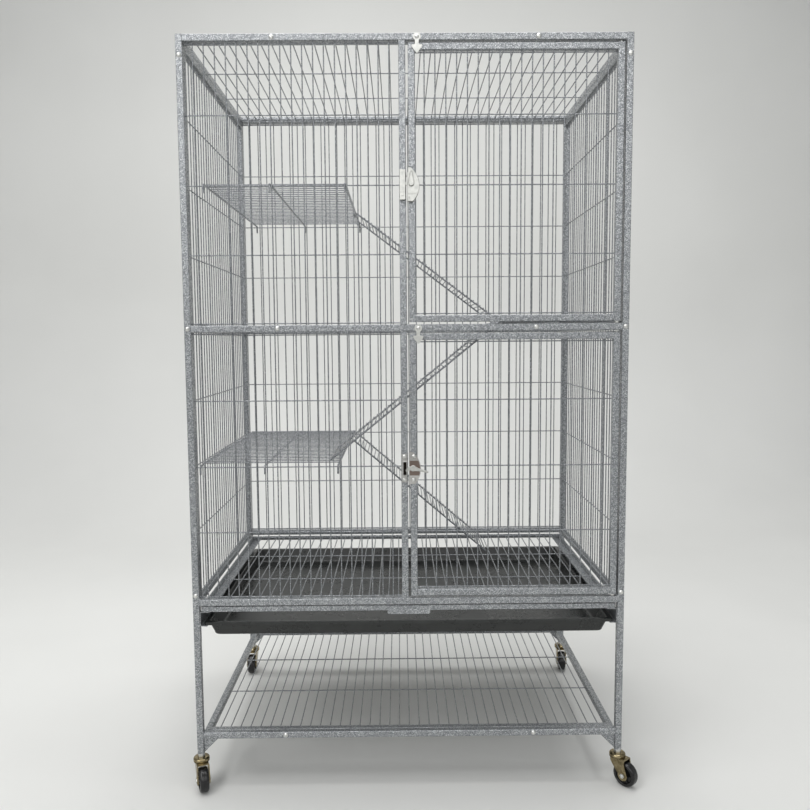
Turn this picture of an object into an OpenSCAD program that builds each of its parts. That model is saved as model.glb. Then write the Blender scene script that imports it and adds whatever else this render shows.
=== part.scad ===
// Rolling bird cage: welded tube frames, wire panels, two doors, ramps, grate, tray and castors.
// X points right, Y points away from the viewer, Z points up. The origin lies on the floor, under
// the middle of the overall box, parked castors included. The modules draw the cage about its own
// middle, with the front frame's outer face at y = -cage_d / 2, and centred() moves it there.

/* [Overall] */
// Width over the frames
cage_w = 790; // [760:2:860]
// Depth over the front and back frames
cage_d = 520; // [490:2:560]
// Clear height of each of the two openings, one above the other
opening_h = 486; // [460:2:520]
// Underside of the bottom rail above the floor
base_z = 347; // [341:1:395]
// Underside of the shelf rail above the floor
shelf_z = 94; // [94:1:135]

/* [Tube and wire] */
// Side of the square tube
tube = 12; // [12:0.5:13]
// Wall of the square tube
wall = 1; // [0.8:0.1:1.5]
// Diameter of the panel wires
wire_d = 2.2; // [1.8:0.1:2.4]
// Distance between neighbouring wires of a panel
pitch = 18.8; // [18:0.2:20]
// Least distance from the last wire to the tube beside it
edge_margin = 13; // [10:0.5:16]
// Distance from a rail to the cross wire along it
cross_inset = 3; // [2:0.25:5]
// Cross wires of one opening
cross_rows = 5; // [5:2:7]
// Cross wires of a level panel
level_rows = 4; // [4:1:6]
// Depth to which crossing wires are welded into each other
weld = 0.3; // [0.2:0.05:0.4]
// Diameter of the bars of platforms and ramps
bar_d = 3.6; // [3:0.1:4]
// Leg of the gusset triangles under the shelf rail
gusset = 28; // [20:1:28]
// Thickness of the gussets
gusset_t = 3; // [2:0.5:5]

/* [Doors] */
// Gap over and under each door
door_gap = 4; // [3:0.25:5]
// Gap at the latch side of each door
latch_gap = 4.5; // [3.5:0.25:6]
// Gap at the hinge side of each door
hinge_gap = 3; // [3:0.25:5]
// Diameter of the hinge pins
hinge_pin_d = 4; // [3:0.25:5]
// Depth to which a hinge pin reaches into the rail
pin_reach = 4; // [3:0.25:4.5]
// Length of the square foot of a hinge pin inside the door tube
pin_foot = 20; // [12:1:40]

/* [Screws] */
// Diameter of the domed heads
screw_head_d = 9; // [7:0.25:10]
// Height of the domed heads
screw_head_h = 2.8; // [2:0.1:3.5]
// Diameter of the screw shanks
screw_d = 4; // [3:0.25:5]
// Distance of the rail screws from the middle of the cage
rail_screw_x = 230; // [200:2:300]
// Distance of the upper post screws from the top rail
post_screw_top = 23; // [14:1:60]
// Distance of the lower post screws from the bottom rail
post_screw_low = 7; // [5:1:60]

/* [Turn buttons] */
// Diameter of the round end
button_d = 13.5; // [11:0.25:14]
// Width of the neck
button_neck = 6.5; // [4:0.25:8]
// Distance from the screw to the head
button_neck_len = 13.3; // [11:0.25:15]
// Width of the arrow head
button_head_w = 18.5; // [14:0.25:22]
// Distance from the screw to the tip
button_len = 27.5; // [25:0.25:32]
// Thickness
button_t = 2.5; // [1.5:0.1:3]
// Distance of the screw from the middle of the cage
button_x = 20; // [18:0.5:40]

/* [Latches] */
// Width of the curved latch bodies on the doors
case_w = 21.6; // [20:0.2:24]
// Height of the curved latch bodies
case_h = 58; // [54:0.5:62]
// Radius of their curved side
case_r = 38.5; // [36:0.5:42]
// Depth of the upper latch case
case_t = 8; // [6:0.5:10]
// Overhang of the latch bodies beside the door tube
case_out = 2.7; // [2:0.1:3]
// Thickness of the lower latch plate
plate_t = 2; // [1.5:0.1:3]
// Width of the keepers on the centre post
keeper_w = 10.4; // [9:0.1:10.8]
// Height of the keepers
keeper_h = 52; // [48:0.5:54]
// Depth of the upper keeper
keeper_t = 7; // [5:0.5:9]
// Depth of the lower keeper
low_keeper_t = 3; // [2:0.25:4]
// Length of the lower latch handle from its pivot
handle_len = 28; // [20:0.5:34]
// Thickness of the lower latch lever
lever_t = 4; // [3:0.25:6]

/* [Platforms and ramps] */
// Width of the upper and lower platforms between their outer bars
platform_w = 248; // [240:2:256]
// Place of the middle bar in that width
platform_mid = 116; // [112:1:120]
// Left bar of the upper platform
upper_platform_x = -355; // [-358:1:-354]
// Left bar of the lower platform
lower_platform_x = -374; // [-376:1:-373]
// Left bar of the middle platform
mid_platform_x = 172; // [150:1:190]
// Drop of the platform hooks outside the wires
hook_drop = 12; // [8:0.5:16]
// Length of the ramp rails
ramp_len = 400; // [390:1:420]
// Distance between the ramp rungs
rung_pitch = 9.4; // [9:0.2:20]
// Ramp width, in wire pitches
ramp_pitches = 7; // [5:1:8]
// Distance from the middle of the cage to the ramps, in wire pitches
ramp_start = 5; // [2:1:5]
// Clearance of the ramp hooks and feet
ramp_gap = 0.3; // [0.3:0.05:0.6]

/* [Grate and tray] */
// Height of the flat edging of the grate
edging_h = 9.5; // [8:0.25:11]
// Thickness of the edging
edging_t = 2.5; // [2:0.25:4]
// Gap from the grate up to the bottom rail
grate_top_gap = 2; // [1:0.25:3]
// Gap from the grate to the legs on each side
grate_side_gap = 2; // [1:0.25:3]
// Width of the finger pull
pull_w = 78; // [60:1:100]
// Height of the finger pull
pull_h = 15; // [12:0.5:17]
// Thickness of the finger pull
pull_t = 1.5; // [1:0.1:2]
// Height of the runner channels
runner_h = 27; // [27:0.5:34]
// Reach of the runner's upper flange
runner_top_w = 18; // [14:0.5:22]
// Reach of the runner's lower flange
runner_low_w = 13; // [11:0.25:14]
// Sheet thickness of the runners
runner_t = 1.2; // [1:0.1:2]
// Depth of the tray, rim to underside
tray_h = 30; // [24:0.5:40]
// Width of the tray's rim flange
rim_w = 7; // [5.5:0.25:7.5]
// Height of the turned-down rim
rim_h = 5.5; // [4:0.25:8]
// Wall of the tray
tray_wall = 2; // [1.5:0.1:3]
// Inward lean of the tray walls
tray_lean = 8; // [4:0.5:14]
// Gap from the tray's rim to the web of the runner
tray_side_gap = 5.8; // [5:0.1:6.5]
// Gap from the back of the tray to the back frame
tray_back_gap = 8; // [4:1:30]

/* [Castors] */
// Wheel diameter
wheel_d = 45; // [42:0.5:50]
// Wheel width
wheel_w = 17; // [14:0.5:18]
// Axle diameter
axle_d = 5; // [4:0.25:6]
// Distance from the swivel axis to the axle
trail = 18; // [15:0.5:20]
// Sheet thickness of the fork
fork_t = 2; // [1.5:0.1:2.5]
// Diameter of the swivel cup
cup_d = 30; // [28:0.5:34]
// Height of the swivel cup
cup_h = 6; // [5:0.25:8]
// Diameter of the stem
stem_d = 6; // [5:0.25:7]
// Length of the stem inside the leg
stem_len = 24; // [16:1:40]
// Width across flats of the castor nut
nut_af = 12; // [11:0.5:14]
// Height of the castor nut
nut_h = 7; // [5:0.5:8]

/* [Hidden] */

$fn = 32;
eps = 0.5;
touch = 0.05;
gap = 0.3;
run_gap = 0.05;

xo = cage_w / 2;
xi = xo - tube;
yf = -cage_d / 2;
yb = cage_d / 2;
depth_in = cage_d - 2 * tube;

mid_z = base_z + tube + opening_h;
top_z = mid_z + tube + opening_h;
cage_h = top_z + tube;
low_z0 = base_z + tube;
up_z0 = mid_z + tube;

fork_gap = 4.7;
plate_z = wheel_d + fork_gap;
cup_z = plate_z + fork_t + gap;
nut_z = cup_z + cup_h;
leg_z = nut_z + nut_h;

door_x0 = latch_gap;
door_x1 = xi - hinge_gap;
door_w = door_x1 - door_x0;
door_h = opening_h - 2 * door_gap;
hinge_x = door_x1 - tube / 2;
hinge_y = yf + tube / 2;
up_door_z = up_z0 + door_gap;
low_door_z = low_z0 + door_gap;

cross_step = (opening_h - 2 * cross_inset) / (cross_rows - 1);
hang_row = floor(cross_rows / 2);
up_hang_z = up_z0 + cross_inset + hang_row * cross_step;
low_hang_z = low_z0 + cross_inset + hang_row * cross_step;
bar_over = (wire_d + bar_d) / 2 + touch;
up_bar_z = up_hang_z + bar_over;
low_bar_z = low_hang_z + bar_over;
mid_bar_z = up_z0 + bar_d / 2 + touch;
wire_rise = (bar_d + wire_d) / 2 - weld;
platform_top = wire_rise + wire_d / 2;
mid_bars = [mid_platform_x, (mid_platform_x + xi - tube / 2) / 2, xi - tube / 2];

grate_top_z = base_z - grate_top_gap;
grate_z = grate_top_z - edging_h;
grate_x = xi - grate_side_gap;
grate_y0 = yf + pull_t + gap;
grate_y1 = yb - tube - 2;
runner_top_z = grate_z - gap;
runner_z = runner_top_z - runner_h;
runner_in = 2;
tray_x = xi - runner_t - tray_side_gap;
tray_rim_z = runner_z + runner_t + gap;
tray_top_z = tray_rim_z + rim_h;
tray_z = tray_top_z - tray_h;
tray_y0 = yf + 4;
tray_y1 = yb - tube - tray_back_gap;

button_z = tube / 2 - 1;
hook_arm = bar_d + ramp_gap;
hook_slack = 0.4;
rung_over = 1.2;
up_keeper_share = 0.497;
low_keeper_share = 0.495;
up_keeper_z = up_z0 + opening_h * up_keeper_share;
low_keeper_z = low_z0 + opening_h * low_keeper_share;
keeper_x = -tube + 0.5;
case_x = door_x0 - case_out;
case_mid = 0.47;
screw_small_d = 7.5;
screw_small_h = 2;
button_screw_d = 8;
button_barb = 5;
button_shoulder = 0.42;
keeper_round = 1.5;
pocket_lip = 2;
pocket_roof = 1.5;
lever_x = case_x + 7.5;
lever_pivot_d = 4;
lever_hub_d = 11;
lever_drop = 15;
handle_root_w = 9;
handle_tip_w = 3.2;
pad_d = 9;
pad_len = 18;
keeper_screw_in = keeper_h / 2 - screw_small_d / 2 - 1;
low_keeper_mid_x = keeper_x + keeper_w / 2;
pocket_h = 23;
thumb_t = 2;
stem_w = 4;
bolt_travel = 4.4;
bolt_tail = 10;
bolt_h = 6;
bolt_t = 3;
bolt_off = 2.3;
bolt_catch = 3.6;
bolt_z = up_keeper_z + 2;
thumb_x = case_x + 7.2;

// Rivet and ball race of the castors, then the cheeks of the fork
rivet_h = 2;
race_h = 2.4;
recess_d = cup_d - 4;
axle_z = wheel_d / 2;
wheel_edge = 3;
cheek_y = wheel_w / 2 + 1;
cheek_back = 8;
fork_front = trail + 3;
cheek_drop = 6;
cheek_r = 9.5;
axle_head = 2;
hub_wall = 5;
rim_depth = 6;

// Directions in which the four castors trail, as turned when the cage was parked
turn_fl = -68;
turn_fr = -48;
turn_bl = -90;
turn_br = -95;

// How far a wheel reaches from its stem, seen at an angle to its trail
function wheel_reach(angle) = (trail + wheel_d / 2 - wheel_edge) * cos(angle)
    + (wheel_w / 2 - wheel_edge) * abs(sin(angle)) + wheel_edge;

// Shift that puts the origin under the middle of everything, parked castors included
middle = [
    (cup_d / 2 - max(cup_d / 2, wheel_reach(turn_fr))) / 2,
    (max(cup_d / 2, wheel_reach(90 + turn_fl), wheel_reach(90 + turn_fr)) - cup_d / 2) / 2,
    0
];

steel = [0.60, 0.63, 0.64];
wire_colour = [0.72, 0.74, 0.75];
zinc = [0.86, 0.86, 0.84];
yellow_zinc = [0.76, 0.69, 0.48];
black = [0.10, 0.10, 0.11];

// Moves a piece from the cage's own middle to the middle of the overall box
module centred() translate(middle) children();

// Number of wires, evenly spaced, that fit in a clear width
function wire_count(w) = floor((w - 2 * edge_margin) / pitch) + 1;

// Heights of the cross wires in a cell from z0 to z1 whose inner rows follow the opening at base
function cell_rows(z0, z1, base) = concat(
    [z0 + cross_inset],
    [for (k = [1:cross_rows - 2]) base + cross_inset + k * cross_step],
    [z1 - cross_inset]
);

// Places of the cross wires over a clear length that starts at v0
function level_places(v0, len) =
    [for (k = [0:level_rows - 1]) v0 + cross_inset + k * (len - 2 * cross_inset) / (level_rows - 1)];

// A stretch of tube as a full bar, in a plane of two directions, tube thick
module beam(u0, v0, u1, v1) translate([u0, v0, 0]) cube([u1 - u0, v1 - v0, tube]);

// The bore of such a stretch
module bore(u0, v0, u1, v1) translate([u0, v0, wall]) cube([u1 - u0, v1 - v0, tube - 2 * wall]);

// Wires of one cell: uprights along v in the outer layer, cross wires along u behind them
module cell_wires(u0, u1, v0, v1, rows, apart, bite) {
    w = u1 - u0;
    n = wire_count(w);
    shift = (wire_d + apart) / 2;
    for (i = [0:n - 1])
        translate([u0 + w / 2 + (i - (n - 1) / 2) * pitch, v0 - bite, tube / 2 + shift])
            rotate([-90, 0, 0]) cylinder(d = wire_d, h = v1 - v0 + 2 * bite);
    for (v = rows)
        translate([u0 - bite, v, tube / 2 - shift])
            rotate([0, 90, 0]) cylinder(d = wire_d, h = w + 2 * bite);
}

// Ring of tubes: two full-length stiles along v with open ends and rails between them
module ring_bodies(w, h, rails) {
    beam(0, 0, tube, h);
    beam(w - tube, 0, w, h);
    for (r = rails) beam(tube - eps / 2, r, w - tube + eps / 2, r + tube);
}

module ring_bores(w, h, rails) {
    bore(wall, -eps, tube - wall, h + eps);
    bore(w - tube + wall, -eps, w - wall, h + eps);
    for (r = rails) bore(tube - 2 * wall, r + wall, w - tube + 2 * wall, r + tube - wall);
}

// A ring with wires welded into it: cells holds the low and high v of each cell and its rows
module wired_ring(w, h, rails, cells) {
    difference() {
        union() {
            ring_bodies(w, h, rails);
            for (c = cells) cell_wires(tube, w - tube, c[0], c[1], c[2], touch, wall / 2);
        }
        ring_bores(w, h, rails);
    }
}

// Turns the plane of a panel upright: u along X, v along Z, outer side to the front
module stand_front() translate([0, yf + tube, 0]) rotate([90, 0, 0]) children();

// The same at the back, outer side to the back
module stand_back() mirror([0, 1, 0]) stand_front() children();

// The same at the right: u along Y, v along Z, outer side to the right
module stand_right() translate([xi, 0, 0]) rotate([90, 0, 90]) children();

module stand_left() mirror([1, 0, 0]) stand_right() children();

// Places of the screws that tie the front or back frame to the frames behind it
post_screws = [
    for (s = [-1, 1], z = [low_z0 + post_screw_low, mid_z + tube / 2, top_z - post_screw_top])
        [s * (xo - tube / 2), z]
];
rail_screws = [
    for (s = [-1, 1], z = [shelf_z, mid_z, top_z]) [s * rail_screw_x, z + tube / 2]
];

module screw_holes(places, z0)
    for (p = places) translate([p[0], p[1], z0]) cylinder(d = screw_d + 2 * touch, h = tube + 2 * eps);

// Tubes of the front or back frame, without its bores
module main_bodies(centre_post) {
    for (s = [-1, 1]) translate([s * (xo - tube / 2) - tube / 2, leg_z, 0])
        cube([tube, cage_h - leg_z, tube]);
    for (z = [shelf_z, base_z, mid_z, top_z]) beam(-xi - eps / 2, z, xi + eps / 2, z + tube);
    if (centre_post) for (z = [low_z0, up_z0]) beam(-tube, z - eps / 2, 0, z + opening_h + eps / 2);
    for (s = [-1, 1]) translate([0, 0, (tube - gusset_t) / 2]) linear_extrude(gusset_t)
        polygon([
            [s * (xi + wall / 2), shelf_z + wall / 2],
            [s * (xi - gusset), shelf_z + wall / 2],
            [s * (xi - gusset), shelf_z],
            [s * xi, shelf_z - gusset],
            [s * (xi + wall / 2), shelf_z - gusset]
        ]);
}

module main_bores(centre_post) {
    for (s = [-1, 1]) translate([s * (xo - tube / 2) - tube / 2 + wall, leg_z - eps, wall])
        cube([tube - 2 * wall, cage_h - wall - leg_z + eps, tube - 2 * wall]);
    for (z = [shelf_z, base_z, mid_z, top_z])
        bore(-xi - 2 * wall, z + wall, xi + 2 * wall, z + tube - wall);
    if (centre_post) for (z = [low_z0, up_z0])
        bore(-tube + wall, z - 2 * wall, -wall, z + opening_h + 2 * wall);
    screw_holes(concat(post_screws, rail_screws), -eps);
}

module front_frame() color(steel) centred() difference() {
    stand_front() difference() {
        main_bodies(true);
        main_bores(true);
        screw_holes([for (z = [mid_z, top_z]) [button_x, z + button_z]], tube / 2);
        screw_holes([for (s = [-1, 1]) [low_keeper_mid_x, low_keeper_z + s * keeper_screw_in]],
            tube / 2);
    }
    for (z = [base_z + tube - wall, mid_z, mid_z + tube - wall, top_z])
        translate([hinge_x, hinge_y, z - eps])
            cylinder(d = hinge_pin_d + 2 * run_gap, h = wall + 2 * eps);
}

module back_frame() color(steel) centred() stand_back() difference() {
    main_bodies(false);
    main_bores(false);
}

module front_wires() color(wire_colour) centred() stand_front() for (z = [low_z0, up_z0])
    cell_wires(-xi, -tube, z, z + opening_h, cell_rows(z, z + opening_h, z), -weld, 0);

module back_wires() color(wire_colour) centred() stand_back() for (z = [low_z0, up_z0])
    cell_wires(-xi, xi, z, z + opening_h, cell_rows(z, z + opening_h, z), -weld, 0);

// Side panel in its own plane, u from the front, v from the floor
module side_panel() {
    rails = [0, mid_z - base_z, top_z - tube - base_z];
    cells = [
        [tube, mid_z - base_z, cell_rows(tube, mid_z - base_z, tube)],
        [mid_z + tube - base_z, top_z - tube - base_z,
            cell_rows(mid_z + tube - base_z, top_z - tube - base_z, mid_z + tube - base_z)]
    ];
    difference() {
        translate([-depth_in / 2, base_z, 0]) wired_ring(depth_in, top_z - base_z, rails, cells);
        for (m = [0, 1], p = post_screws) if (p[0] > 0)
            mirror([m, 0, 0]) translate([-depth_in / 2 - eps, p[1], tube / 2])
                rotate([0, 90, 0]) cylinder(d = screw_d + 2 * touch, h = tube / 2 + eps);
    }
}

module left_side_panel() color(steel) centred() stand_left() side_panel();

module right_side_panel() color(steel) centred() stand_right() side_panel();

// Level frame of half width x, with or without wires, its underside at z
module level_frame(x, z, wired) {
    cell = [tube, depth_in - tube, level_places(tube, depth_in - 2 * tube)];
    difference() {
        translate([-x, -depth_in / 2, z])
            wired_ring(2 * x, depth_in, [0, depth_in - tube], wired ? [cell] : []);
        for (s = [-1, 1], m = [0, 1])
            mirror([0, m, 0]) translate([s * rail_screw_x, -depth_in / 2 - eps, z + tube / 2])
                rotate([-90, 0, 0]) cylinder(d = screw_d + 2 * touch, h = tube / 2 + eps);
    }
}

module top_panel() color(steel) centred() level_frame(xo, top_z, true);

module mid_frame() color(steel) centred() level_frame(xi, mid_z, false);

module shelf_panel() color(steel) centred() level_frame(xi, shelf_z, true);

// Domed screw along +Y, the underside of its head at y = 0
module dome_screw(head_d, head_h, shank_d, len) {
    r = (head_h * head_h + head_d * head_d / 4) / (2 * head_h);
    rotate([-90, 0, 0]) {
        intersection() {
            translate([0, 0, r - head_h]) sphere(r = r);
            translate([0, 0, -head_h]) cylinder(d = head_d + 1, h = head_h);
        }
        translate([0, 0, -touch]) cylinder(d = shank_d, h = len + touch);
    }
}

module frame_screws() color(zinc) centred() for (m = [0, 1]) mirror([0, m, 0])
    for (p = concat(post_screws, rail_screws)) translate([p[0], yf, p[1]])
        dome_screw(screw_head_d, screw_head_h, screw_d, 2 * tube - wall - 1);

// Runner channel on the right: web against the legs, flanges inwards
module runner() translate([0, yf + runner_in, 0]) {
    len = cage_d - 2 * runner_in;
    translate([xi - runner_t, 0, runner_z]) cube([runner_t, len, runner_h]);
    translate([xi - runner_top_w, 0, runner_top_z - runner_t]) cube([runner_top_w, len, runner_t]);
    translate([xi - runner_low_w, 0, runner_z]) cube([runner_low_w, len, runner_t]);
}

module right_runner() color(steel) centred() runner();

module left_runner() color(steel) centred() mirror([1, 0, 0]) runner();

// Half of a platform bar from the middle to the front, with its hook
module hooked_half() {
    bend = (bar_d + wire_d) / 2 + hook_slack;
    y_wire = cage_d / 2 - tube / 2 - (wire_d - weld) / 2;
    rotate([90, 0, 0]) translate([0, 0, -eps]) cylinder(d = bar_d, h = y_wire + eps);
    translate([0, -y_wire, -bend]) rotate([0, -90, 0]) rotate([180, 0, 0])
        rotate_extrude(angle = 90) translate([bend, 0]) circle(d = bar_d);
    translate([0, -y_wire - bend, -bend - hook_drop]) cylinder(d = bar_d, h = hook_drop);
}

// Thin wires of a platform, half a pitch off the middle, from x0 to x1, on bars at height z
module platform_wires(x0, x1, z) {
    n = floor((depth_in / 2 - edge_margin / 2) / pitch + 0.5);
    for (s = [-1, 1], j = [0:n - 1])
        translate([x0 - bar_d / 2, s * (j + 0.5) * pitch, z + wire_rise])
            rotate([0, 90, 0]) cylinder(d = wire_d, h = x1 - x0 + bar_d);
}

module hung_platform(x, z) {
    for (u = [0, platform_mid, platform_w], m = [0, 1])
        translate([x + u, 0, z]) mirror([0, m, 0]) hooked_half();
    platform_wires(x, x + platform_w, z);
}

module upper_platform() color(wire_colour) centred() hung_platform(upper_platform_x, up_bar_z);

module lower_platform() color(wire_colour) centred() hung_platform(lower_platform_x, low_bar_z);

module middle_platform() color(wire_colour) centred() {
    len = depth_in - 2;
    for (x = mid_bars) translate([x, -len / 2, mid_bar_z])
        rotate([-90, 0, 0]) cylinder(d = bar_d, h = len);
    platform_wires(mid_bars[0], mid_bars[2], mid_bar_z);
}

// Slope at which a ramp from a bar at height z rests on a surface at height z_rest
function ramp_slope(z, z_rest) =
    let (reach = ramp_len + wire_d / 2 - weld, drop = z - wire_d / 2 - z_rest - ramp_gap)
    asin(drop / sqrt(reach * reach + hook_arm * hook_arm)) + atan(hook_arm / reach);

// Ramp that hangs on the Y axis and leads down to +X; its rails lie beside the platform wires
module ramp(slope) {
    y0 = ramp_start * pitch;
    y1 = (ramp_start + ramp_pitches) * pitch;
    side = bar_d / 2 + rung_over;
    count = floor((ramp_len - rung_pitch / 2) / rung_pitch);
    rotate([0, slope, 0]) {
        for (y = [y0, y1]) translate([0, y, 0]) {
            translate([0, 0, hook_arm]) rotate([0, 90, 0]) cylinder(d = bar_d, h = ramp_len);
            rotate([90, 0, 0]) rotate([0, 0, 90])
                rotate_extrude(angle = 190) translate([hook_arm, 0]) circle(d = bar_d);
        }
        for (i = [1:count]) translate([i * rung_pitch, y0 - side, hook_arm + wire_rise])
            rotate([-90, 0, 0]) cylinder(d = wire_d, h = y1 - y0 + 2 * side);
        translate([ramp_len + wire_d / 2 - weld, y0 - side, hook_arm])
            rotate([-90, 0, 0]) cylinder(d = wire_d, h = y1 - y0 + 2 * side);
    }
}

module upper_ramp() color(wire_colour) centred()
    translate([upper_platform_x + platform_w, 0, up_bar_z])
        ramp(ramp_slope(up_bar_z, mid_bar_z + platform_top));

module middle_ramp() color(wire_colour) centred() translate([mid_bars[0], 0, mid_bar_z])
    mirror([1, 0, 0]) mirror([0, 1, 0]) ramp(ramp_slope(mid_bar_z, low_bar_z + platform_top));

module lower_ramp() color(wire_colour) centred()
    translate([lower_platform_x + platform_w, 0, low_bar_z])
        ramp(ramp_slope(low_bar_z, grate_top_z));

// Curved latch outline with a straight left side, lower left corner at the origin
module case_outline() intersection() {
    square([case_w, case_h]);
    translate([case_w - case_r, case_h * case_mid]) circle(r = case_r, $fn = 96);
}

module rounded_rect(w, h, r) {
    translate([r, 0]) square([w - 2 * r, h]);
    translate([0, r]) square([w, h - 2 * r]);
    for (x = [r, w - r], y = [r, h - r]) translate([x, y]) circle(r = r);
}

// Stands a plane shape of thickness t on the front face, a distance off before it
module on_front(off, t) translate([0, yf - off, 0]) rotate([90, 0, 0]) linear_extrude(t) children();

// Box standing on the front face: from x0, z0, off before the face, sized w wide, h high, t deep
module front_box(x0, z0, off, w, h, t) translate([x0, yf - off - t, z0]) cube([w, t, h]);

module upper_keeper() color(zinc) centred() difference() {
    on_front(0, keeper_t) translate([keeper_x, up_keeper_z - keeper_h / 2])
        rounded_rect(keeper_w, keeper_h, keeper_round);
    front_box(keeper_x + keeper_w - bolt_catch - gap, bolt_z - bolt_h / 2 - gap, bolt_off - gap,
        bolt_catch + gap + eps, bolt_h + 2 * gap, bolt_t + 2 * gap);
}

// Keeper plate with a raised box whose pocket, open to the right, takes the lever's beak
module lower_keeper() color(zinc) centred() difference() {
    union() {
        on_front(0, low_keeper_t) translate([keeper_x, low_keeper_z - keeper_h / 2])
            rounded_rect(keeper_w, keeper_h, keeper_round);
        front_box(keeper_x + pocket_lip / 2, low_keeper_z - pocket_h / 2 - pocket_lip, 0,
            keeper_w - pocket_lip / 2, pocket_h + 2 * pocket_lip,
            plate_t + lever_t + 2 * gap + pocket_roof);
    }
    front_box(keeper_x + 1.5 * pocket_lip, low_keeper_z - pocket_h / 2, plate_t,
        keeper_w, pocket_h, lever_t + 2 * gap);
    for (s = [-1, 1])
        translate([low_keeper_mid_x, yf - low_keeper_t - eps, low_keeper_z + s * keeper_screw_in])
            rotate([-90, 0, 0]) cylinder(d = screw_d + 2 * touch, h = low_keeper_t + 2 * eps);
}

module keeper_screws() color(zinc) centred() for (s = [-1, 1])
    translate([low_keeper_mid_x, yf - low_keeper_t, low_keeper_z + s * keeper_screw_in])
        dome_screw(screw_small_d, screw_small_h, screw_d, low_keeper_t + tube - wall - 1);

module button_screws() color(zinc) centred() for (z = [mid_z, top_z])
    translate([button_x, yf - button_t - 2 * gap, z + button_z])
        dome_screw(button_screw_d, screw_small_h, screw_d, button_t + 2 * gap + tube - wall - 1);

module turn_button(z) on_front(gap, button_t) translate([button_x, z + button_z]) difference() {
    union() {
        circle(d = button_d);
        polygon([
            [-button_neck / 2, 0], [-button_neck / 2, -button_neck_len],
            [-button_head_w / 2, -button_neck_len],
            [-button_head_w * button_shoulder, -button_neck_len - button_barb],
            [-1, -button_len], [1, -button_len],
            [button_head_w * button_shoulder, -button_neck_len - button_barb],
            [button_head_w / 2, -button_neck_len],
            [button_neck / 2, -button_neck_len], [button_neck / 2, 0]
        ]);
    }
    circle(d = screw_d + 2 * run_gap);
}

module upper_button() color(zinc) centred() turn_button(top_z);

module lower_button() color(zinc) centred() turn_button(mid_z);

// Square block inside a leg's end with a hole for the castor stem
module leg_plugs() color(black) centred() at_castors() difference() {
    side = tube - 2 * wall;
    translate([-side / 2, -side / 2, leg_z]) cube([side, side, stem_len]);
    translate([0, 0, leg_z - eps]) cylinder(d = stem_d + 2 * touch, h = stem_len + 2 * eps);
}

// Places a castor piece under one leg, trailing at an angle
module castor_at(sx, sy, turn)
    translate([sx * (xo - tube / 2), sy * (cage_d / 2 - tube / 2), 0]) rotate([0, 0, turn]) children();

// Repeats a castor piece under each leg
module at_castors() for (sx = [-1, 1], sy = [-1, 1]) castor_at(sx, sy, 0) children();

module castor_stems() color(yellow_zinc) centred() at_castors() {
    translate([0, 0, cup_z]) difference() {
        cylinder(d = cup_d, h = cup_h);
        translate([0, 0, -eps]) cylinder(d = recess_d, h = race_h + eps);
    }
    translate([0, 0, plate_z - gap - rivet_h])
        cylinder(d = stem_d, h = leg_z + stem_len - plate_z + gap + rivet_h);
    translate([0, 0, plate_z - gap - rivet_h]) cylinder(d = 2 * stem_d, h = rivet_h);
}

module castor_nuts() color(zinc) centred() at_castors() translate([0, 0, nut_z]) difference() {
    cylinder(d = nut_af / cos(30), h = nut_h, $fn = 6);
    translate([0, 0, -eps]) cylinder(d = stem_d + 2 * touch, h = nut_h + 2 * eps);
}

module door_frame(z) {
    rails = [0, door_h - tube];
    base = z - door_gap;
    rows = [for (r = cell_rows(z + tube, z + door_h - tube, base)) r - z];
    stand_front() translate([door_x0, z, 0])
        wired_ring(door_w, door_h, rails, [[tube, door_h - tube, rows]]);
}

// Holes for the latch plate's screws through the plate and the front wall of the door tube
module plate_screw_holes() for (s = [-1, 1])
    translate([door_x0 + tube / 2, yf - plate_t - eps, low_keeper_z + s * keeper_screw_in])
        rotate([-90, 0, 0]) cylinder(d = screw_d + 2 * touch, h = plate_t + tube / 2);

module upper_door() color(steel) centred() door_frame(up_door_z);

module lower_door() color(steel) centred() difference() {
    door_frame(low_door_z);
    plate_screw_holes();
}

// Hinge pins of one door: square feet in the tube ends, a collar under the door
module door_pins(z) {
    foot = tube - 2 * wall;
    for (s = [0, 1]) {
        z_foot = s == 0 ? z : z + door_h - pin_foot;
        z_pin = s == 0 ? z - door_gap - pin_reach : z + door_h - eps;
        translate([hinge_x - foot / 2, hinge_y - foot / 2, z_foot]) cube([foot, foot, pin_foot]);
        translate([hinge_x, hinge_y, z_pin])
            cylinder(d = hinge_pin_d, h = door_gap + pin_reach + eps);
    }
    translate([hinge_x, hinge_y, z - door_gap + gap])
        cylinder(d = foot - 1, h = door_gap - gap + eps);
}

module upper_door_pins() color(zinc) centred() door_pins(up_door_z);

module lower_door_pins() color(zinc) centred() door_pins(low_door_z);

// Case of the spring bolt: a channel for the bolt and a slot for the thumb piece's stem
module upper_latch_case() color(zinc) centred() difference() {
    on_front(0, case_t) translate([case_x, up_keeper_z - case_h / 2]) case_outline();
    front_box(case_x - eps, bolt_z - bolt_h / 2 - gap, bolt_off - gap,
        bolt_tail + bolt_travel + gap + eps, bolt_h + 2 * gap, bolt_t + 2 * gap);
    front_box(thumb_x - stem_w / 2 - gap, bolt_z - stem_w / 2 - gap, bolt_off,
        stem_w + bolt_travel + 2 * gap, stem_w + 2 * gap, case_t);
}

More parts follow.
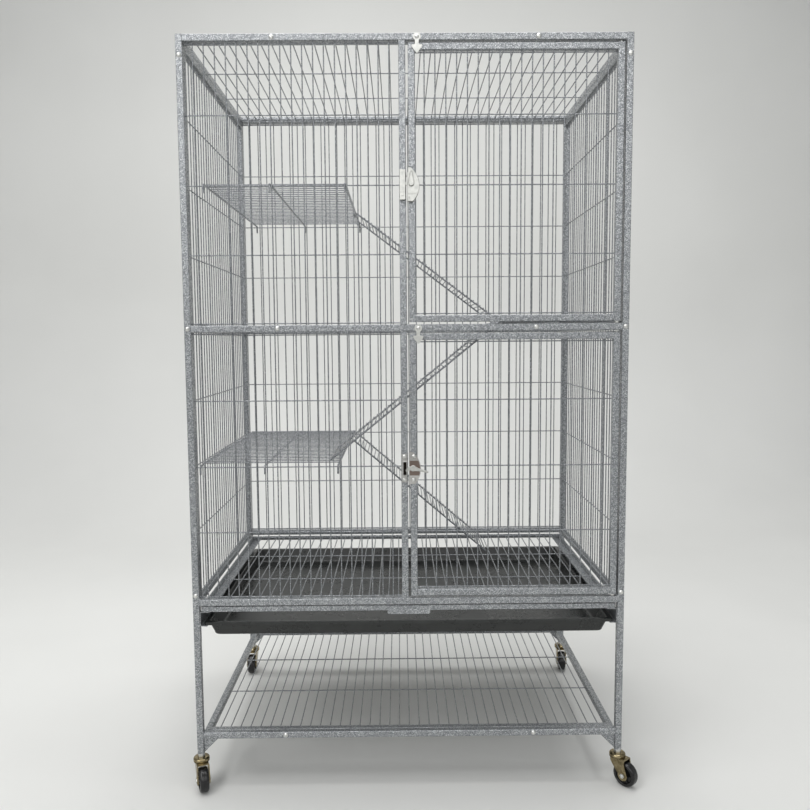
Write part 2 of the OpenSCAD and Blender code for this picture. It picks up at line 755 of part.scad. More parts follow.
// Spring bolt with its tear-drop thumb piece; it slides to the right to free the door
module upper_latch_bolt() color(zinc) centred() {
    bolt_x0 = keeper_x + keeper_w - bolt_catch;
    front_box(bolt_x0, bolt_z - bolt_h / 2, bolt_off, case_x + bolt_tail - bolt_x0, bolt_h, bolt_t);
    front_box(thumb_x - stem_w / 2, bolt_z - stem_w / 2, bolt_off + bolt_t - eps,
        stem_w, stem_w, case_t - bolt_off - bolt_t + gap + 2 * eps);
    on_front(case_t + gap, thumb_t) translate([thumb_x, bolt_z]) {
        circle(d = pad_d);
        polygon([[-pad_d * 0.48, 1], [pad_d * 0.48, 1], [1, pad_len], [-1, pad_len]]);
    }
}

module lower_latch_plate() color(zinc) centred() {
    difference() {
        on_front(0, plate_t) translate([case_x, low_keeper_z - case_h / 2]) case_outline();
        plate_screw_holes();
    }
    on_front(plate_t - eps, lever_t + gap + eps) translate([lever_x, low_keeper_z])
        circle(d = lever_pivot_d);
}

module lower_latch_screws() color(zinc) centred() for (s = [-1, 1])
    translate([door_x0 + tube / 2, yf - plate_t, low_keeper_z + s * keeper_screw_in])
        dome_screw(screw_small_d, screw_small_h, screw_d, plate_t + tube - wall - 1);

// Lever with a beak towards the keeper and a handle pointing right and a little down
module lower_latch_lever() color(zinc) centred() on_front(plate_t + gap, lever_t)
    translate([lever_x, low_keeper_z]) difference() {
        union() {
            circle(d = lever_hub_d);
            rotate(-lever_drop) polygon([
                [0, -handle_root_w / 2], [handle_len, -handle_tip_w / 2],
                [handle_len, handle_tip_w / 2], [0, handle_root_w / 2]
            ]);
            polygon([[0, 5], [-11, 1.5], [-14, -3], [-12.5, -7], [-9, -6.5], [-8, -2.5], [0, -5]]);
        }
        circle(d = lever_pivot_d + 2 * run_gap);
    }

module grate() color(wire_colour) centred() {
    w = 2 * grate_x;
    len = grate_y1 - grate_y0;
    z_up = grate_top_z - wire_d / 2;
    n = wire_count(w - 2 * edging_t);
    bite = edging_t / 2;
    translate([0, grate_y0, grate_z]) difference() {
        translate([-grate_x, 0, 0]) cube([w, len, edging_h]);
        translate([-grate_x + edging_t, edging_t, -eps])
            cube([w - 2 * edging_t, len - 2 * edging_t, edging_h + 2 * eps]);
    }
    for (i = [0:n - 1]) translate([(i - (n - 1) / 2) * pitch, grate_y0 + edging_t - bite, z_up])
        rotate([-90, 0, 0]) cylinder(d = wire_d, h = len - 2 * edging_t + 2 * bite);
    for (y = level_places(grate_y0 + edging_t, len - 2 * edging_t))
        translate([-grate_x + edging_t - bite, y, z_up - wire_d - touch])
            rotate([0, 90, 0]) cylinder(d = wire_d, h = w - 2 * edging_t + 2 * bite);
    translate([-pull_w / 2, grate_y0 - pull_t, grate_top_z - 1 - pull_h]) cube([pull_w, pull_t, pull_h]);
}

// Solid tray form: half width x and ends y0, y1 at the top, leaning in to the bottom
module tray_form(x, y0, y1, z0, z1) intersection() {
    translate([0, y1 + eps, 0]) rotate([90, 0, 0]) linear_extrude(y1 - y0 + 2 * eps)
        polygon([[-x, z1], [x, z1], [x - tray_lean, z0], [-x + tray_lean, z0]]);
    translate([-x - eps, 0, 0]) rotate([90, 0, 90]) linear_extrude(2 * x + 2 * eps)
        polygon([[y0, z1], [y1, z1], [y1 - tray_lean, z0], [y0 + tray_lean, z0]]);
}

module tray() color(black) centred() {
    x = tray_x - rim_w;
    y0 = tray_y0 + rim_w;
    y1 = tray_y1 - rim_w;
    difference() {
        union() {
            tray_form(x, y0, y1, tray_z, tray_top_z);
            translate([-tray_x, tray_y0, tray_rim_z]) cube([2 * tray_x, tray_y1 - tray_y0, rim_h]);
        }
        translate([0, 0, tray_wall])
            tray_form(x - tray_wall, y0 + tray_wall, y1 - tray_wall, tray_z, tray_top_z);
        difference() {
            translate([-tray_x + tray_wall, tray_y0 + tray_wall, tray_rim_z - eps])
                cube([2 * (tray_x - tray_wall), tray_y1 - tray_y0 - 2 * tray_wall, rim_h - tray_wall + eps]);
            tray_form(x, y0, y1, tray_z, tray_top_z);
        }
    }
}

// Fork in its own frame: swivel axis on Z, wheel trailing to +X
module fork() {
    translate([0, 0, plate_z]) difference() {
        union() {
            cylinder(d = cup_d, h = fork_t);
            cylinder(d = recess_d - 2, h = fork_t + race_h);
            translate([0, -cheek_y - fork_t, 0]) cube([fork_front, 2 * (cheek_y + fork_t), fork_t]);
        }
        translate([0, 0, -eps]) cylinder(d = stem_d + 2 * gap, h = fork_t + race_h + 2 * eps);
    }
    for (s = [-1, 1]) difference() {
        translate([0, s * (cheek_y + fork_t / 2) + fork_t / 2, 0]) rotate([90, 0, 0])
            linear_extrude(fork_t) {
                polygon([
                    [-cheek_back, plate_z + fork_t], [fork_front, plate_z + fork_t],
                    [fork_front, plate_z - cheek_drop], [trail + cheek_r, axle_z],
                    [trail - cheek_r, axle_z], [-cheek_back, plate_z - cheek_drop]
                ]);
                translate([trail, axle_z]) circle(r = cheek_r);
            }
        translate([trail, 0, axle_z]) rotate([90, 0, 0])
            cylinder(d = axle_d + 2 * touch, h = 2 * cup_d, center = true);
    }
}

module axle() translate([trail, 0, axle_z]) rotate([90, 0, 0]) {
    half = cheek_y + fork_t;
    cylinder(d = axle_d, h = 2 * (half + axle_head), center = true);
    for (s = [0, 1]) mirror([0, 0, s]) translate([0, 0, half])
        cylinder(d = 2 * axle_d - 1, h = axle_head);
}

module wheel() translate([trail, 0, axle_z]) rotate([90, 0, 0]) rotate_extrude($fn = 64) {
    r = wheel_d / 2;
    edge = wheel_edge;
    bore_r = axle_d / 2 + run_gap;
    translate([bore_r, -wheel_w / 2]) square([hub_wall, wheel_w]);
    translate([bore_r + hub_wall - 1, -wheel_w / 4]) square([r - rim_depth - hub_wall, wheel_w / 2]);
    translate([r - rim_depth, -wheel_w / 2]) square([rim_depth - edge, wheel_w]);
    translate([r - rim_depth, -wheel_w / 2 + edge]) square([rim_depth, wheel_w - 2 * edge]);
    for (s = [-1, 1]) translate([r - edge, s * (wheel_w / 2 - edge)]) circle(r = edge);
}

module front_left_fork() color(yellow_zinc) centred() castor_at(-1, -1, turn_fl) fork();
module front_left_axle() color(zinc) centred() castor_at(-1, -1, turn_fl) axle();
module front_left_wheel() color(black) centred() castor_at(-1, -1, turn_fl) wheel();
module front_right_fork() color(yellow_zinc) centred() castor_at(1, -1, turn_fr) fork();
module front_right_axle() color(zinc) centred() castor_at(1, -1, turn_fr) axle();
module front_right_wheel() color(black) centred() castor_at(1, -1, turn_fr) wheel();
module back_left_fork() color(yellow_zinc) centred() castor_at(-1, 1, turn_bl) fork();
module back_left_axle() color(zinc) centred() castor_at(-1, 1, turn_bl) axle();
module back_left_wheel() color(black) centred() castor_at(-1, 1, turn_bl) wheel();
module back_right_fork() color(yellow_zinc) centred() castor_at(1, 1, turn_br) fork();
module back_right_axle() color(zinc) centred() castor_at(1, 1, turn_br) axle();
module back_right_wheel() color(black) centred() castor_at(1, 1, turn_br) wheel();

front_frame();
front_wires();
back_frame();
back_wires();
left_side_panel();
right_side_panel();
top_panel();
mid_frame();
shelf_panel();
frame_screws();
left_runner();
right_runner();
upper_platform();
middle_platform();
lower_platform();
upper_keeper();
lower_keeper();
keeper_screws();
button_screws();
leg_plugs();
castor_stems();
castor_nuts();
upper_door();
upper_door_pins();
upper_latch_case();
upper_latch_bolt();
lower_door();
lower_door_pins();
lower_latch_plate();
lower_latch_screws();
lower_latch_lever();
upper_button();
lower_button();
grate();
tray();
upper_ramp();
middle_ramp();
lower_ramp();
front_left_fork();
front_left_axle();
front_left_wheel();
front_right_fork();
front_right_axle();
front_right_wheel();
back_left_fork();
back_left_axle();
back_left_wheel();
back_right_fork();
back_right_axle();
back_right_wheel();
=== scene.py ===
"""Dressed model of a rolling bird cage: tube frames, welded wire, latches, tray and castors."""

import math

import bmesh
import bpy
from mathutils import Matrix, Vector


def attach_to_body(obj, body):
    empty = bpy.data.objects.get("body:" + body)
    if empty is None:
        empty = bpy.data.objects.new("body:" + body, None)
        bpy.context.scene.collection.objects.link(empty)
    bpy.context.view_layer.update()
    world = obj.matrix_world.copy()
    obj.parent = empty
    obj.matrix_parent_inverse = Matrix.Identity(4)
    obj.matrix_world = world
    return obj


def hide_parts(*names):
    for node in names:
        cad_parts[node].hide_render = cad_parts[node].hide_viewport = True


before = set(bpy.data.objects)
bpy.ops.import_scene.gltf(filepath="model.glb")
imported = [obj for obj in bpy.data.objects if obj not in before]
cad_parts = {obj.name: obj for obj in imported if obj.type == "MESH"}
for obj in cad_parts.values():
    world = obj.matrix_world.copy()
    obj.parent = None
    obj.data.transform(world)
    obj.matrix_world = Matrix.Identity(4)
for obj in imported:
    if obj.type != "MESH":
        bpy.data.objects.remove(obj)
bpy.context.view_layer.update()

# All sizes below are millimetres in the cage's own frame: X right, Y away from the viewer, Z up.
MM = 0.001
# Square tube, the frame's outer and inner half sizes, and the middle of its corner posts
TUBE, WALL, CORNER = 12.0, 1.0, 1.4
HALF_W, HALF_D = 395.0, 260.0
IN_X, IN_Y = HALF_W - TUBE, HALF_D - TUBE
POST_X, POST_Y = HALF_W - TUBE / 2, HALF_D - TUBE / 2
# Lower faces of legs and rails, the full height, and the openings between the rails
LEG_Z, SHELF_Z, BASE_Z, MID_Z, TOP_Z, CAGE_H = 65.0, 94.0, 347.0, 845.0, 1343.0, 1355.0
LOW_Z, UP_Z, OPENING = BASE_Z + TUBE, MID_Z + TUBE, 486.0
# Wires and bars, how they lie in an opening, and how deep they sink into tubes and each other
WIRE_D, BAR_D, PITCH, EDGE_MARGIN = 2.2, 3.6, 18.8, 13.0
CROSS_INSET = 3.0
CROSS_STEP = (OPENING - 2 * CROSS_INSET) / 4
LAYER, BITE, WELD = 0.95, 0.5, 0.3
DOOR_X0, DOOR_X1, DOOR_H = 4.5, 380.0, 478.0
HINGE_X = 374.0
GRATE_X, GRATE_Y0, GRATE_Y1, GRATE_Z, GRATE_TOP = 381.0, -258.2, 246.0, 335.5, 345.0
CASTOR_TURNS = {"front_left": -68, "front_right": -48, "back_left": -90, "back_right": -95}
CUP_R, TRAIL, WHEEL_R, WHEEL_HALF, WHEEL_EDGE = 15.0, 18.0, 22.5, 8.5, 3.0


def wheel_reach(degrees):
    """How far a wheel reaches from its stem, seen at an angle to its trail."""
    a = math.radians(degrees)
    length = (TRAIL + WHEEL_R - WHEEL_EDGE) * math.cos(a)
    return length + (WHEEL_HALF - WHEEL_EDGE) * abs(math.sin(a)) + WHEEL_EDGE


# The pieces are drawn about the middle of the tube frame. This shift takes them to the origin of
# the shared frame, under the middle of the whole cage with its parked castors.
SHIFT = Vector((
    (CUP_R - wheel_reach(CASTOR_TURNS["front_right"])) / 2,
    (max(wheel_reach(90 + CASTOR_TURNS[n]) for n in ("front_left", "front_right")) - CUP_R) / 2,
    0.0)) * MM


# ---------------------------------------------------------------- materials
def linear(code):
    """sRGB hex colour to the linear values that the shader takes."""
    values = [int(code[i:i + 2], 16) / 255 for i in (1, 3, 5)]
    return [v / 12.92 if v <= 0.04045 else ((v + 0.055) / 1.055) ** 2.4 for v in values] + [1.0]


def add(tree, kind, settings=None, links=None, stops=()):
    """Adds a node. Settings are its attributes, links its inputs: values or other nodes' outputs.

    Stops are the places and hex colours of a colour ramp.
    """
    made = tree.nodes.new(kind)
    for key, value in (settings or {}).items():
        setattr(made, key, value)
    for key, value in (links or {}).items():
        if isinstance(value, bpy.types.NodeSocket):
            tree.links.new(value, made.inputs[key])
        else:
            made.inputs[key].default_value = value
    for k, (place, code) in enumerate(stops):
        shades = made.color_ramp.elements
        if k == len(shades):
            shades.new(place)
        shades[k].position, shades[k].color = place, linear(code)
    return made


def new_material(name):
    """An empty material, its tree, and the place on the piece that its patterns read."""
    material = bpy.data.materials.new(name)
    material.use_nodes = True
    tree = material.node_tree
    tree.nodes.clear()
    return material, tree, add(tree, "ShaderNodeTexCoord").outputs["Object"]


def close_material(tree, surface, height=None, strength=0.0, depth=0.0):
    """Ends a material: its relief from a height, its shader and its output."""
    if height is not None:
        relief = add(tree, "ShaderNodeBump", links={
            "Strength": strength, "Distance": depth, "Height": height})
        surface = {**surface, "Normal": relief.outputs["Normal"]}
    shader = add(tree, "ShaderNodeBsdfPrincipled", links=surface)
    add(tree, "ShaderNodeOutputMaterial", links={"Surface": shader.outputs["BSDF"]})


def per_mm(size):
    """Texture scale at which one cell of the pattern is this many millimetres wide."""
    return 1000.0 / size


def hammered_paint(name, dark, mid, light, cell, bump):
    """Silver vein hammered powder coat: pale metallic islands between dark sunken veins.

    The eye gets a fine mottled grey whose small bright dimples sparkle where they face a lamp.
    """
    material, tree, place = new_material(name)
    wobble = add(tree, "ShaderNodeTexNoise", links={
        "Vector": place, "Scale": per_mm(2.5), "Detail": 2.0})
    bent = add(tree, "ShaderNodeMixRGB", {"blend_type": "LINEAR_LIGHT"}, {
        0: 0.0012, 1: place, 2: wobble.outputs["Color"]})
    grid = {"Vector": bent.outputs[0], "Scale": per_mm(cell)}
    veins = add(tree, "ShaderNodeTexVoronoi", {"feature": "DISTANCE_TO_EDGE"}, grid)
    islands = add(tree, "ShaderNodeTexVoronoi", {"feature": "F1"}, grid)
    tone = add(tree, "ShaderNodeSeparateColor", links={"Color": islands.outputs["Color"]})
    fine = add(tree, "ShaderNodeTexNoise", links={
        "Vector": place, "Scale": per_mm(0.9), "Detail": 3.0})
    rise = add(tree, "ShaderNodeMapRange", {"interpolation_type": "SMOOTHSTEP"}, {
        "Value": veins.outputs["Distance"], "From Min": -0.04, "From Max": 0.4})
    speck = add(tree, "ShaderNodeMath", {"operation": "MULTIPLY_ADD"}, {
        0: fine.outputs["Fac"], 1: 0.5, 2: -0.25})
    uneven = add(tree, "ShaderNodeMath", {"operation": "MULTIPLY_ADD"}, {
        0: tone.outputs[0], 1: 0.5, 2: -0.3})
    level = add(tree, "ShaderNodeMath", {"operation": "ADD"}, {
        0: rise.outputs["Result"], 1: speck.outputs[0]})
    level = add(tree, "ShaderNodeMath", {"operation": "ADD", "use_clamp": True}, {
        0: level.outputs[0], 1: uneven.outputs[0]}).outputs[0]
    colour = add(tree, "ShaderNodeValToRGB", links={"Fac": level},
                 stops=[(0.08, dark), (0.5, mid), (0.95, light)])
    rough = add(tree, "ShaderNodeMapRange", links={"Value": level, "To Min": 0.5, "To Max": 0.28})
    close_material(tree, {
        "Base Color": colour.outputs["Color"], "Metallic": 0.6, "Coat Weight": 0.3,
        "Roughness": rough.outputs["Result"], "Coat Roughness": 0.22}, level, bump, 0.0002)
    return material


def plated_metal(name, light, dark, rough, grain, bump, painted_below=None):
    """Electroplated zinc on steel or on a zinc casting: a bright metal with a faint cloudy haze.

    The optional last pair gives a height over the front face in mm and a colour painted on all that
    lies lower: painted shade or a painted reflection, not the metal's own colour.
    """
    material, tree, place = new_material(name)
    haze = add(tree, "ShaderNodeTexNoise", links={
        "Vector": place, "Scale": per_mm(grain), "Detail": 4.0}).outputs["Fac"]
    pits = add(tree, "ShaderNodeTexNoise", links={
        "Vector": place, "Scale": per_mm(0.8), "Detail": 2.0})
    colour = add(tree, "ShaderNodeValToRGB", links={"Fac": haze},
                 stops=[(0.3, dark), (0.62, light)]).outputs["Color"]
    # Painted shade and painted reflection: faces lower than the given height take the given colour
    # in place of the metal's own.
    if painted_below:
        level = (-HALF_D - painted_below[0]) * MM + SHIFT.y
        depth = add(tree, "ShaderNodeSeparateXYZ", links={"Vector": place})
        low = add(tree, "ShaderNodeMapRange", links={
            "Value": depth.outputs["Y"], "From Min": level - 0.0002, "From Max": level + 0.0002})
        colour = add(tree, "ShaderNodeMixRGB", links={
            0: low.outputs["Result"], 1: colour, 2: linear(painted_below[1])}).outputs[0]
    gloss = add(tree, "ShaderNodeMapRange", links={
        "Value": haze, "To Min": rough + 0.12, "To Max": rough - 0.06})
    close_material(tree, {
        "Base Color": colour, "Metallic": 1.0, "Roughness": gloss.outputs["Result"]},
        pits.outputs["Fac"], bump, 0.0001)
    return material


def moulded_plastic(name, base, scuffed, rough, grain):
    """Injection moulded plastic with a fine spark-eroded grain and paler scuffs."""
    material, tree, place = new_material(name)
    grit = add(tree, "ShaderNodeTexNoise", links={
        "Vector": place, "Scale": per_mm(grain), "Detail": 3.0})
    wear = add(tree, "ShaderNodeTexNoise", links={
        "Vector": place, "Scale": per_mm(60.0), "Detail": 6.0, "Roughness": 0.65}).outputs["Fac"]
    colour = add(tree, "ShaderNodeValToRGB", links={"Fac": wear},
                 stops=[(0.45, base), (0.8, scuffed)])
    gloss = add(tree, "ShaderNodeMapRange", links={
        "Value": wear, "To Min": rough - 0.06, "To Max": rough + 0.14})
    close_material(tree, {
        "Base Color": colour.outputs["Color"], "Roughness": gloss.outputs["Result"], "IOR": 1.49},
        grit.outputs["Fac"], 0.25, 0.0002)
    return material


PAINT = hammered_paint(
    "silver_vein_hammered_powder_coat", "#75787b", "#a7aaad", "#cfd1d3", cell=2.3, bump=0.3)
# The same coat on round wire, its cells smaller and flatter; its darker grey is painted shade
WIRE_PAINT = hammered_paint(
    "silver_vein_powder_coat_on_wire", "#6f7276", "#94979a", "#babcbe", cell=2.0, bump=0.2)
# Screws and nuts: the whitest metal on the cage
ZINC = plated_metal("bright_zinc_plated_steel", "#dededb", "#c6c7c5",
                    rough=0.3, grain=3.0, bump=0.1)
# Latches and turn buttons: a pale, even satin without mirror images
CAST = plated_metal("satin_plated_zinc_casting", "#cacac6", "#bbbcb8",
                    rough=0.4, grain=6.0, bump=0.12)
# The plate under the lever is polished like a mirror; its dish is painted a darker brown than its
# rim and the satin castings, a painted reflection, and the slot of its keeper is painted near
# black, painted shade
CHROME = plated_metal("mirror_polished_chrome_plate", "#d8d6d3", "#c1bebb",
                      rough=0.18, grain=9.0, bump=0.04, painted_below=(1.5, "#8d7e76"))
# The keeper's slot and the faces below it are painted near black: painted shade in its pocket.
KEEPER_CHROME = plated_metal("polished_chrome_with_a_dark_slot", "#c6c5c3", "#acaba9",
                             rough=0.26, grain=5.0, bump=0.06, painted_below=(1.5, "#26221f"))
# Forks and cups: a thin yellow-brown tint that still mirrors the floor
BRONZE = plated_metal("bronze_tinted_zinc_on_pressed_steel", "#a09374", "#6d6249",
                      rough=0.2, grain=7.0, bump=0.08)
# The tray is a dull charcoal, the wheels a deeper and glossier black, the plugs matt
TRAY_PLASTIC = moulded_plastic("black_polypropylene_tray", "#212322", "#323433", 0.24, 0.7)
WHEEL_PLASTIC = moulded_plastic("black_nylon_castor_wheel", "#141415", "#2a2a2a", 0.2, 0.6)
PLUG_PLASTIC = moulded_plastic("black_nylon_leg_plug", "#161616", "#262626", 0.5, 0.6)


# ---------------------------------------------------------------- mesh helpers
def moved(x, y, z):
    return Matrix.Translation((x, y, z))


def turned(degrees, axis):
    return Matrix.Rotation(math.radians(degrees), 4, axis)


def link(name, mesh):
    """A new object in the scene."""
    made = bpy.data.objects.new(name, mesh)
    bpy.context.scene.collection.objects.link(made)
    return made


def mesh_of(name, bm):
    """A new mesh from a bmesh, which is used up."""
    mesh = bpy.data.meshes.new(name)
    bm.to_mesh(mesh)
    bm.free()
    return mesh


def evaluated(holder):
    """The mesh of an object with its modifiers applied."""
    graph = bpy.context.evaluated_depsgraph_get()
    return bpy.data.meshes.new_from_object(holder.evaluated_get(graph))


def smooth_between(bm, angle):
    """Smooth faces, with every edge that turns more than the angle kept sharp."""
    for face in bm.faces:
        face.smooth = True
    for edge in bm.edges:
        if len(edge.link_faces) == 2:
            edge.smooth = edge.calc_face_angle() < math.radians(angle)


def settle(name, bm, material, body, nodes, angle=35.0):
    """Turns a bmesh in millimetres into a finished piece on a body, in place of CAD nodes."""
    bmesh.ops.recalc_face_normals(bm, faces=bm.faces)
    bmesh.ops.scale(bm, vec=(MM, MM, MM), verts=bm.verts)
    smooth_between(bm, angle)
    piece = link(name, mesh_of(name, bm))
    piece.data.materials.append(material)
    shade_flats(piece)
    attach(piece, body, nodes)


def shade_flats(piece):
    """Keeps large faces flat to the eye, so that only rolled corners and bevels look round."""
    modifier = piece.modifiers.new("flats", "WEIGHTED_NORMAL")
    modifier.mode = "FACE_AREA"
    modifier.weight = 100
    modifier.keep_sharp = True
    mesh = evaluated(piece)
    piece.modifiers.clear()
    piece.data = mesh
    mesh.name = piece.name


def attach(piece, body, nodes):
    piece.data.transform(Matrix.Translation(SHIFT))
    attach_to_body(piece, body)
    if nodes:
        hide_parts(*nodes)


def arc(cx, cy, radius, start, end, steps):
    """Points on a circle from one angle to another, in degrees."""
    angles = [math.radians(start + (end - start) * k / steps) for k in range(steps + 1)]
    return [(cx + radius * math.cos(a), cy + radius * math.sin(a)) for a in angles]


def rounded_outline(x0, y0, x1, y1, radius, steps=4):
    """Rectangle with round corners, counter-clockwise."""
    corners = [(x1 - radius, y0 + radius, -90), (x1 - radius, y1 - radius, 0),
               (x0 + radius, y1 - radius, 90), (x0 + radius, y0 + radius, 180)]
    return [p for cx, cy, a in corners for p in arc(cx, cy, radius, a, a + 90, steps)]


def ring_between(bm, low, high):
    """Quads between two rings of vertices of the same length."""
    count = len(low)
    for i in range(count):
        bm.faces.new((low[i], low[(i + 1) % count], high[(i + 1) % count], high[i]))


def loft(bm, rings, loop=False):
    """Skin through rings of points; the ends are capped, or the last ring meets the first."""
    made = [[bm.verts.new(p) for p in ring] for ring in rings]
    for low, high in zip(made, made[1:]):
        ring_between(bm, low, high)
    if loop:
        ring_between(bm, made[-1], made[0])
    else:
        bm.faces.new(list(reversed(made[0])))
        bm.faces.new(made[-1])


def slab(bm, outline, depth, matrix=None, bevel=0.0, segments=2):
    """Outline in local X and Y pushed up by depth, its edges rounded, then put in its place."""
    part = bmesh.new()
    loft(part, [[(x, y, z) for x, y in outline] for z in (0.0, depth)])
    bmesh.ops.recalc_face_normals(part, faces=part.faces)
    if bevel:
        edges = [e for e in part.edges if e.calc_face_angle(0.0) > math.radians(30)]
        bmesh.ops.bevel(part, geom=edges, offset=bevel, segments=segments, profile=0.5,
                        affect="EDGES", clamp_overlap=True)
        bmesh.ops.dissolve_degenerate(part, dist=0.001, edges=part.edges)
    join(bm, part, matrix)


def join(bm, part, matrix=None):
    """Moves a part mesh into place and adds it to another."""
    if matrix:
        bmesh.ops.transform(part, matrix=matrix, verts=part.verts)
    mesh = mesh_of("part", part)
    bm.from_mesh(mesh)
    bpy.data.meshes.remove(mesh)


def lathe(bm, profile, matrix=None, segments=48):
    """Closed profile of (radius, height) turned about local Z."""
    part = bmesh.new()
    rings = []
    for k in range(segments):
        a = 2 * math.pi * k / segments
        rings.append([(r * math.cos(a), r * math.sin(a), h) for r, h in profile])
    loft(part, rings, loop=True)
    bmesh.ops.remove_doubles(part, verts=part.verts, dist=0.0005)
    stray = [edge for edge in part.edges if not edge.link_faces]
    bmesh.ops.delete(part, geom=stray, context="EDGES")
    bmesh.ops.recalc_face_normals(part, faces=part.faces)
    join(bm, part, matrix)


def on_front(x, z, off):
    """For plates on the front face: local Z towards the viewer, local X right, local Y up."""
    return moved(x, -HALF_D - off, z) @ turned(90, "X")


# ---------------------------------------------------------------- tubes
def tube_section(half, radius):
    return rounded_outline(-half, -half, half, half, radius, 3)


def tube(bm, start, end, closed=(False, False)):
    """Hollow square tube between two points along one axis, with rolled corners."""
    start, end = Vector(start), Vector(end)
    along = (end - start).normalized()
    side = Vector((0, 0, 1)) if abs(along.z) < 0.5 else Vector((0, 1, 0))
    across = along.cross(side)
    outer = tube_section(TUBE / 2, CORNER)
    inner = tube_section(TUBE / 2 - WALL, CORNER - 0.8)

    def ring(outline, at):
        return [tuple(at + across * a + side * b) for a, b in outline]

    part = bmesh.new()
    skins = []
    for outline, wall in ((outer, 0.0), (inner, WALL)):
        inset = [wall if shut else 0.0 for shut in closed]
        low = [part.verts.new(p) for p in ring(outline, start + along * inset[0])]
        high = [part.verts.new(p) for p in ring(outline, end - along * inset[1])]
        ring_between(part, low, high)
        skins.append((low, high))
    outside, inside = skins
    for k in (0, 1):
        if closed[k]:
            part.faces.new(outside[k])
            part.faces.new(inside[k])
        else:
            ring_between(part, outside[k], inside[k])
    bmesh.ops.recalc_face_normals(part, faces=part.faces)
    join(bm, part)


GUSSET, GUSSET_T = 28.0, 3.0


def gusset(bm, sign, y):
    """Bent-over corner plate under the shelf rail."""
    x = sign * IN_X
    outline = [(x, SHELF_Z), (x - sign * GUSSET, SHELF_Z), (x, SHELF_Z - GUSSET)]
    if sign > 0:
        outline.reverse()
    slab(bm, outline, GUSSET_T, moved(0, y + GUSSET_T / 2, 0) @ turned(90, "X"), bevel=0.5)


# ---------------------------------------------------------------- geometry node trees
def modifier_tree(name, inputs):
    tree = bpy.data.node_groups.new(name, "GeometryNodeTree")
    tree.interface.new_socket("Geometry", in_out="INPUT", socket_type="NodeSocketGeometry")
    for label, kind in inputs:
        tree.interface.new_socket(label, in_out="INPUT", socket_type="NodeSocket" + kind)
    tree.interface.new_socket("Geometry", in_out="OUTPUT", socket_type="NodeSocketGeometry")
    return tree, add(tree, "NodeGroupInput").outputs


def end_tree(tree, geometry, material):
    """Smooth shading except over sharp edges, then plain geometry with its material."""
    bend = add(tree, "GeometryNodeInputMeshEdgeAngle")
    gentle = add(tree, "FunctionNodeCompare", {"data_type": "FLOAT", "operation": "LESS_THAN"},
                 {0: bend.outputs["Unsigned Angle"], 1: math.radians(50)})
    real = add(tree, "GeometryNodeRealizeInstances", links={"Geometry": geometry})
    faces = add(tree, "GeometryNodeSetShadeSmooth", {"domain": "FACE"},
                {"Geometry": real.outputs[0], "Shade Smooth": True})
    edges = add(tree, "GeometryNodeSetShadeSmooth", {"domain": "EDGE"},
                {"Geometry": faces.outputs[0], "Shade Smooth": gentle.outputs[0]})
    done = add(tree, "GeometryNodeSetMaterial", links={
        "Geometry": edges.outputs[0], "Material": material})
    add(tree, "NodeGroupOutput", links={0: done.outputs[0]})


def wire_tree():
    """Round wire along every edge, and a squeezed spot weld on every marked point."""
    tree, given = modifier_tree("welded wire", [
        ("Wire Diameter", "Float"), ("Sides", "Int"), ("Weld Size", "Vector"), ("Seed", "Int"),
        ("Material", "Material")])
    radius = add(tree, "ShaderNodeMath", {"operation": "MULTIPLY"}, {
        0: given["Wire Diameter"], 1: 0.5})
    paths = add(tree, "GeometryNodeMeshToCurve", links={"Mesh": given["Geometry"]})
    circle = add(tree, "GeometryNodeCurvePrimitiveCircle", links={
        "Resolution": given["Sides"], "Radius": radius.outputs[0]})
    rods = add(tree, "GeometryNodeCurveToMesh", links={
        "Curve": paths.outputs[0], "Profile Curve": circle.outputs[0], "Fill Caps": True})
    marked = add(tree, "GeometryNodeInputNamedAttribute", {"data_type": "BOOLEAN"}, {
        "Name": "weld"})
    spots = add(tree, "GeometryNodeMeshToPoints", links={
        "Mesh": given["Geometry"], "Selection": marked.outputs["Attribute"]})
    nugget = add(tree, "GeometryNodeMeshUVSphere", links={"Segments": 8, "Rings": 4, "Radius": 1.0})
    vary = add(tree, "FunctionNodeRandomValue", {"data_type": "FLOAT"},
               {"Min": 0.82, "Max": 1.12, "Seed": given["Seed"]})
    size = add(tree, "ShaderNodeVectorMath", {"operation": "SCALE"},
               {0: given["Weld Size"], "Scale": vary.outputs["Value"]})
    welds = add(tree, "GeometryNodeInstanceOnPoints", links={
        "Points": spots.outputs[0], "Instance": nugget.outputs["Mesh"], "Scale": size.outputs[0]})
    both = add(tree, "GeometryNodeJoinGeometry", links={0: rods.outputs[0]})
    tree.links.new(welds.outputs[0], both.inputs[0])
    end_tree(tree, both.outputs[0], given["Material"])
    return tree


def scatter_tree():
    """A small piece on every point, its Z turned to the point's facing and spun by chance."""
    tree, given = modifier_tree("small pieces on points", [
        ("Piece", "Object"), ("Spin", "Float"), ("Seed", "Int"), ("Material", "Material")])
    spots = add(tree, "GeometryNodeMeshToPoints", links={"Mesh": given["Geometry"]})
    piece = add(tree, "GeometryNodeObjectInfo", links={"Object": given["Piece"]})
    facing = add(tree, "GeometryNodeInputNamedAttribute", {"data_type": "FLOAT_VECTOR"}, {
        "Name": "facing"})
    turned = add(tree, "FunctionNodeAlignRotationToVector", {"axis": "Z"},
                 {"Vector": facing.outputs["Attribute"]})
    chance = add(tree, "FunctionNodeRandomValue", {"data_type": "FLOAT"},
                 {"Min": 0.0, "Max": given["Spin"], "Seed": given["Seed"]})
    about = add(tree, "ShaderNodeCombineXYZ", links={"Z": chance.outputs["Value"]})
    placed = add(tree, "GeometryNodeInstanceOnPoints", links={
        "Points": spots.outputs[0], "Instance": piece.outputs["Geometry"],
        "Rotation": turned.outputs["Rotation"]})
    spun = add(tree, "GeometryNodeRotateInstances", links={
        "Instances": placed.outputs[0], "Rotation": about.outputs[0]})
    end_tree(tree, spun.outputs[0], given["Material"])
    return tree


WIRE_TREE = wire_tree()
SCATTER_TREE = scatter_tree()


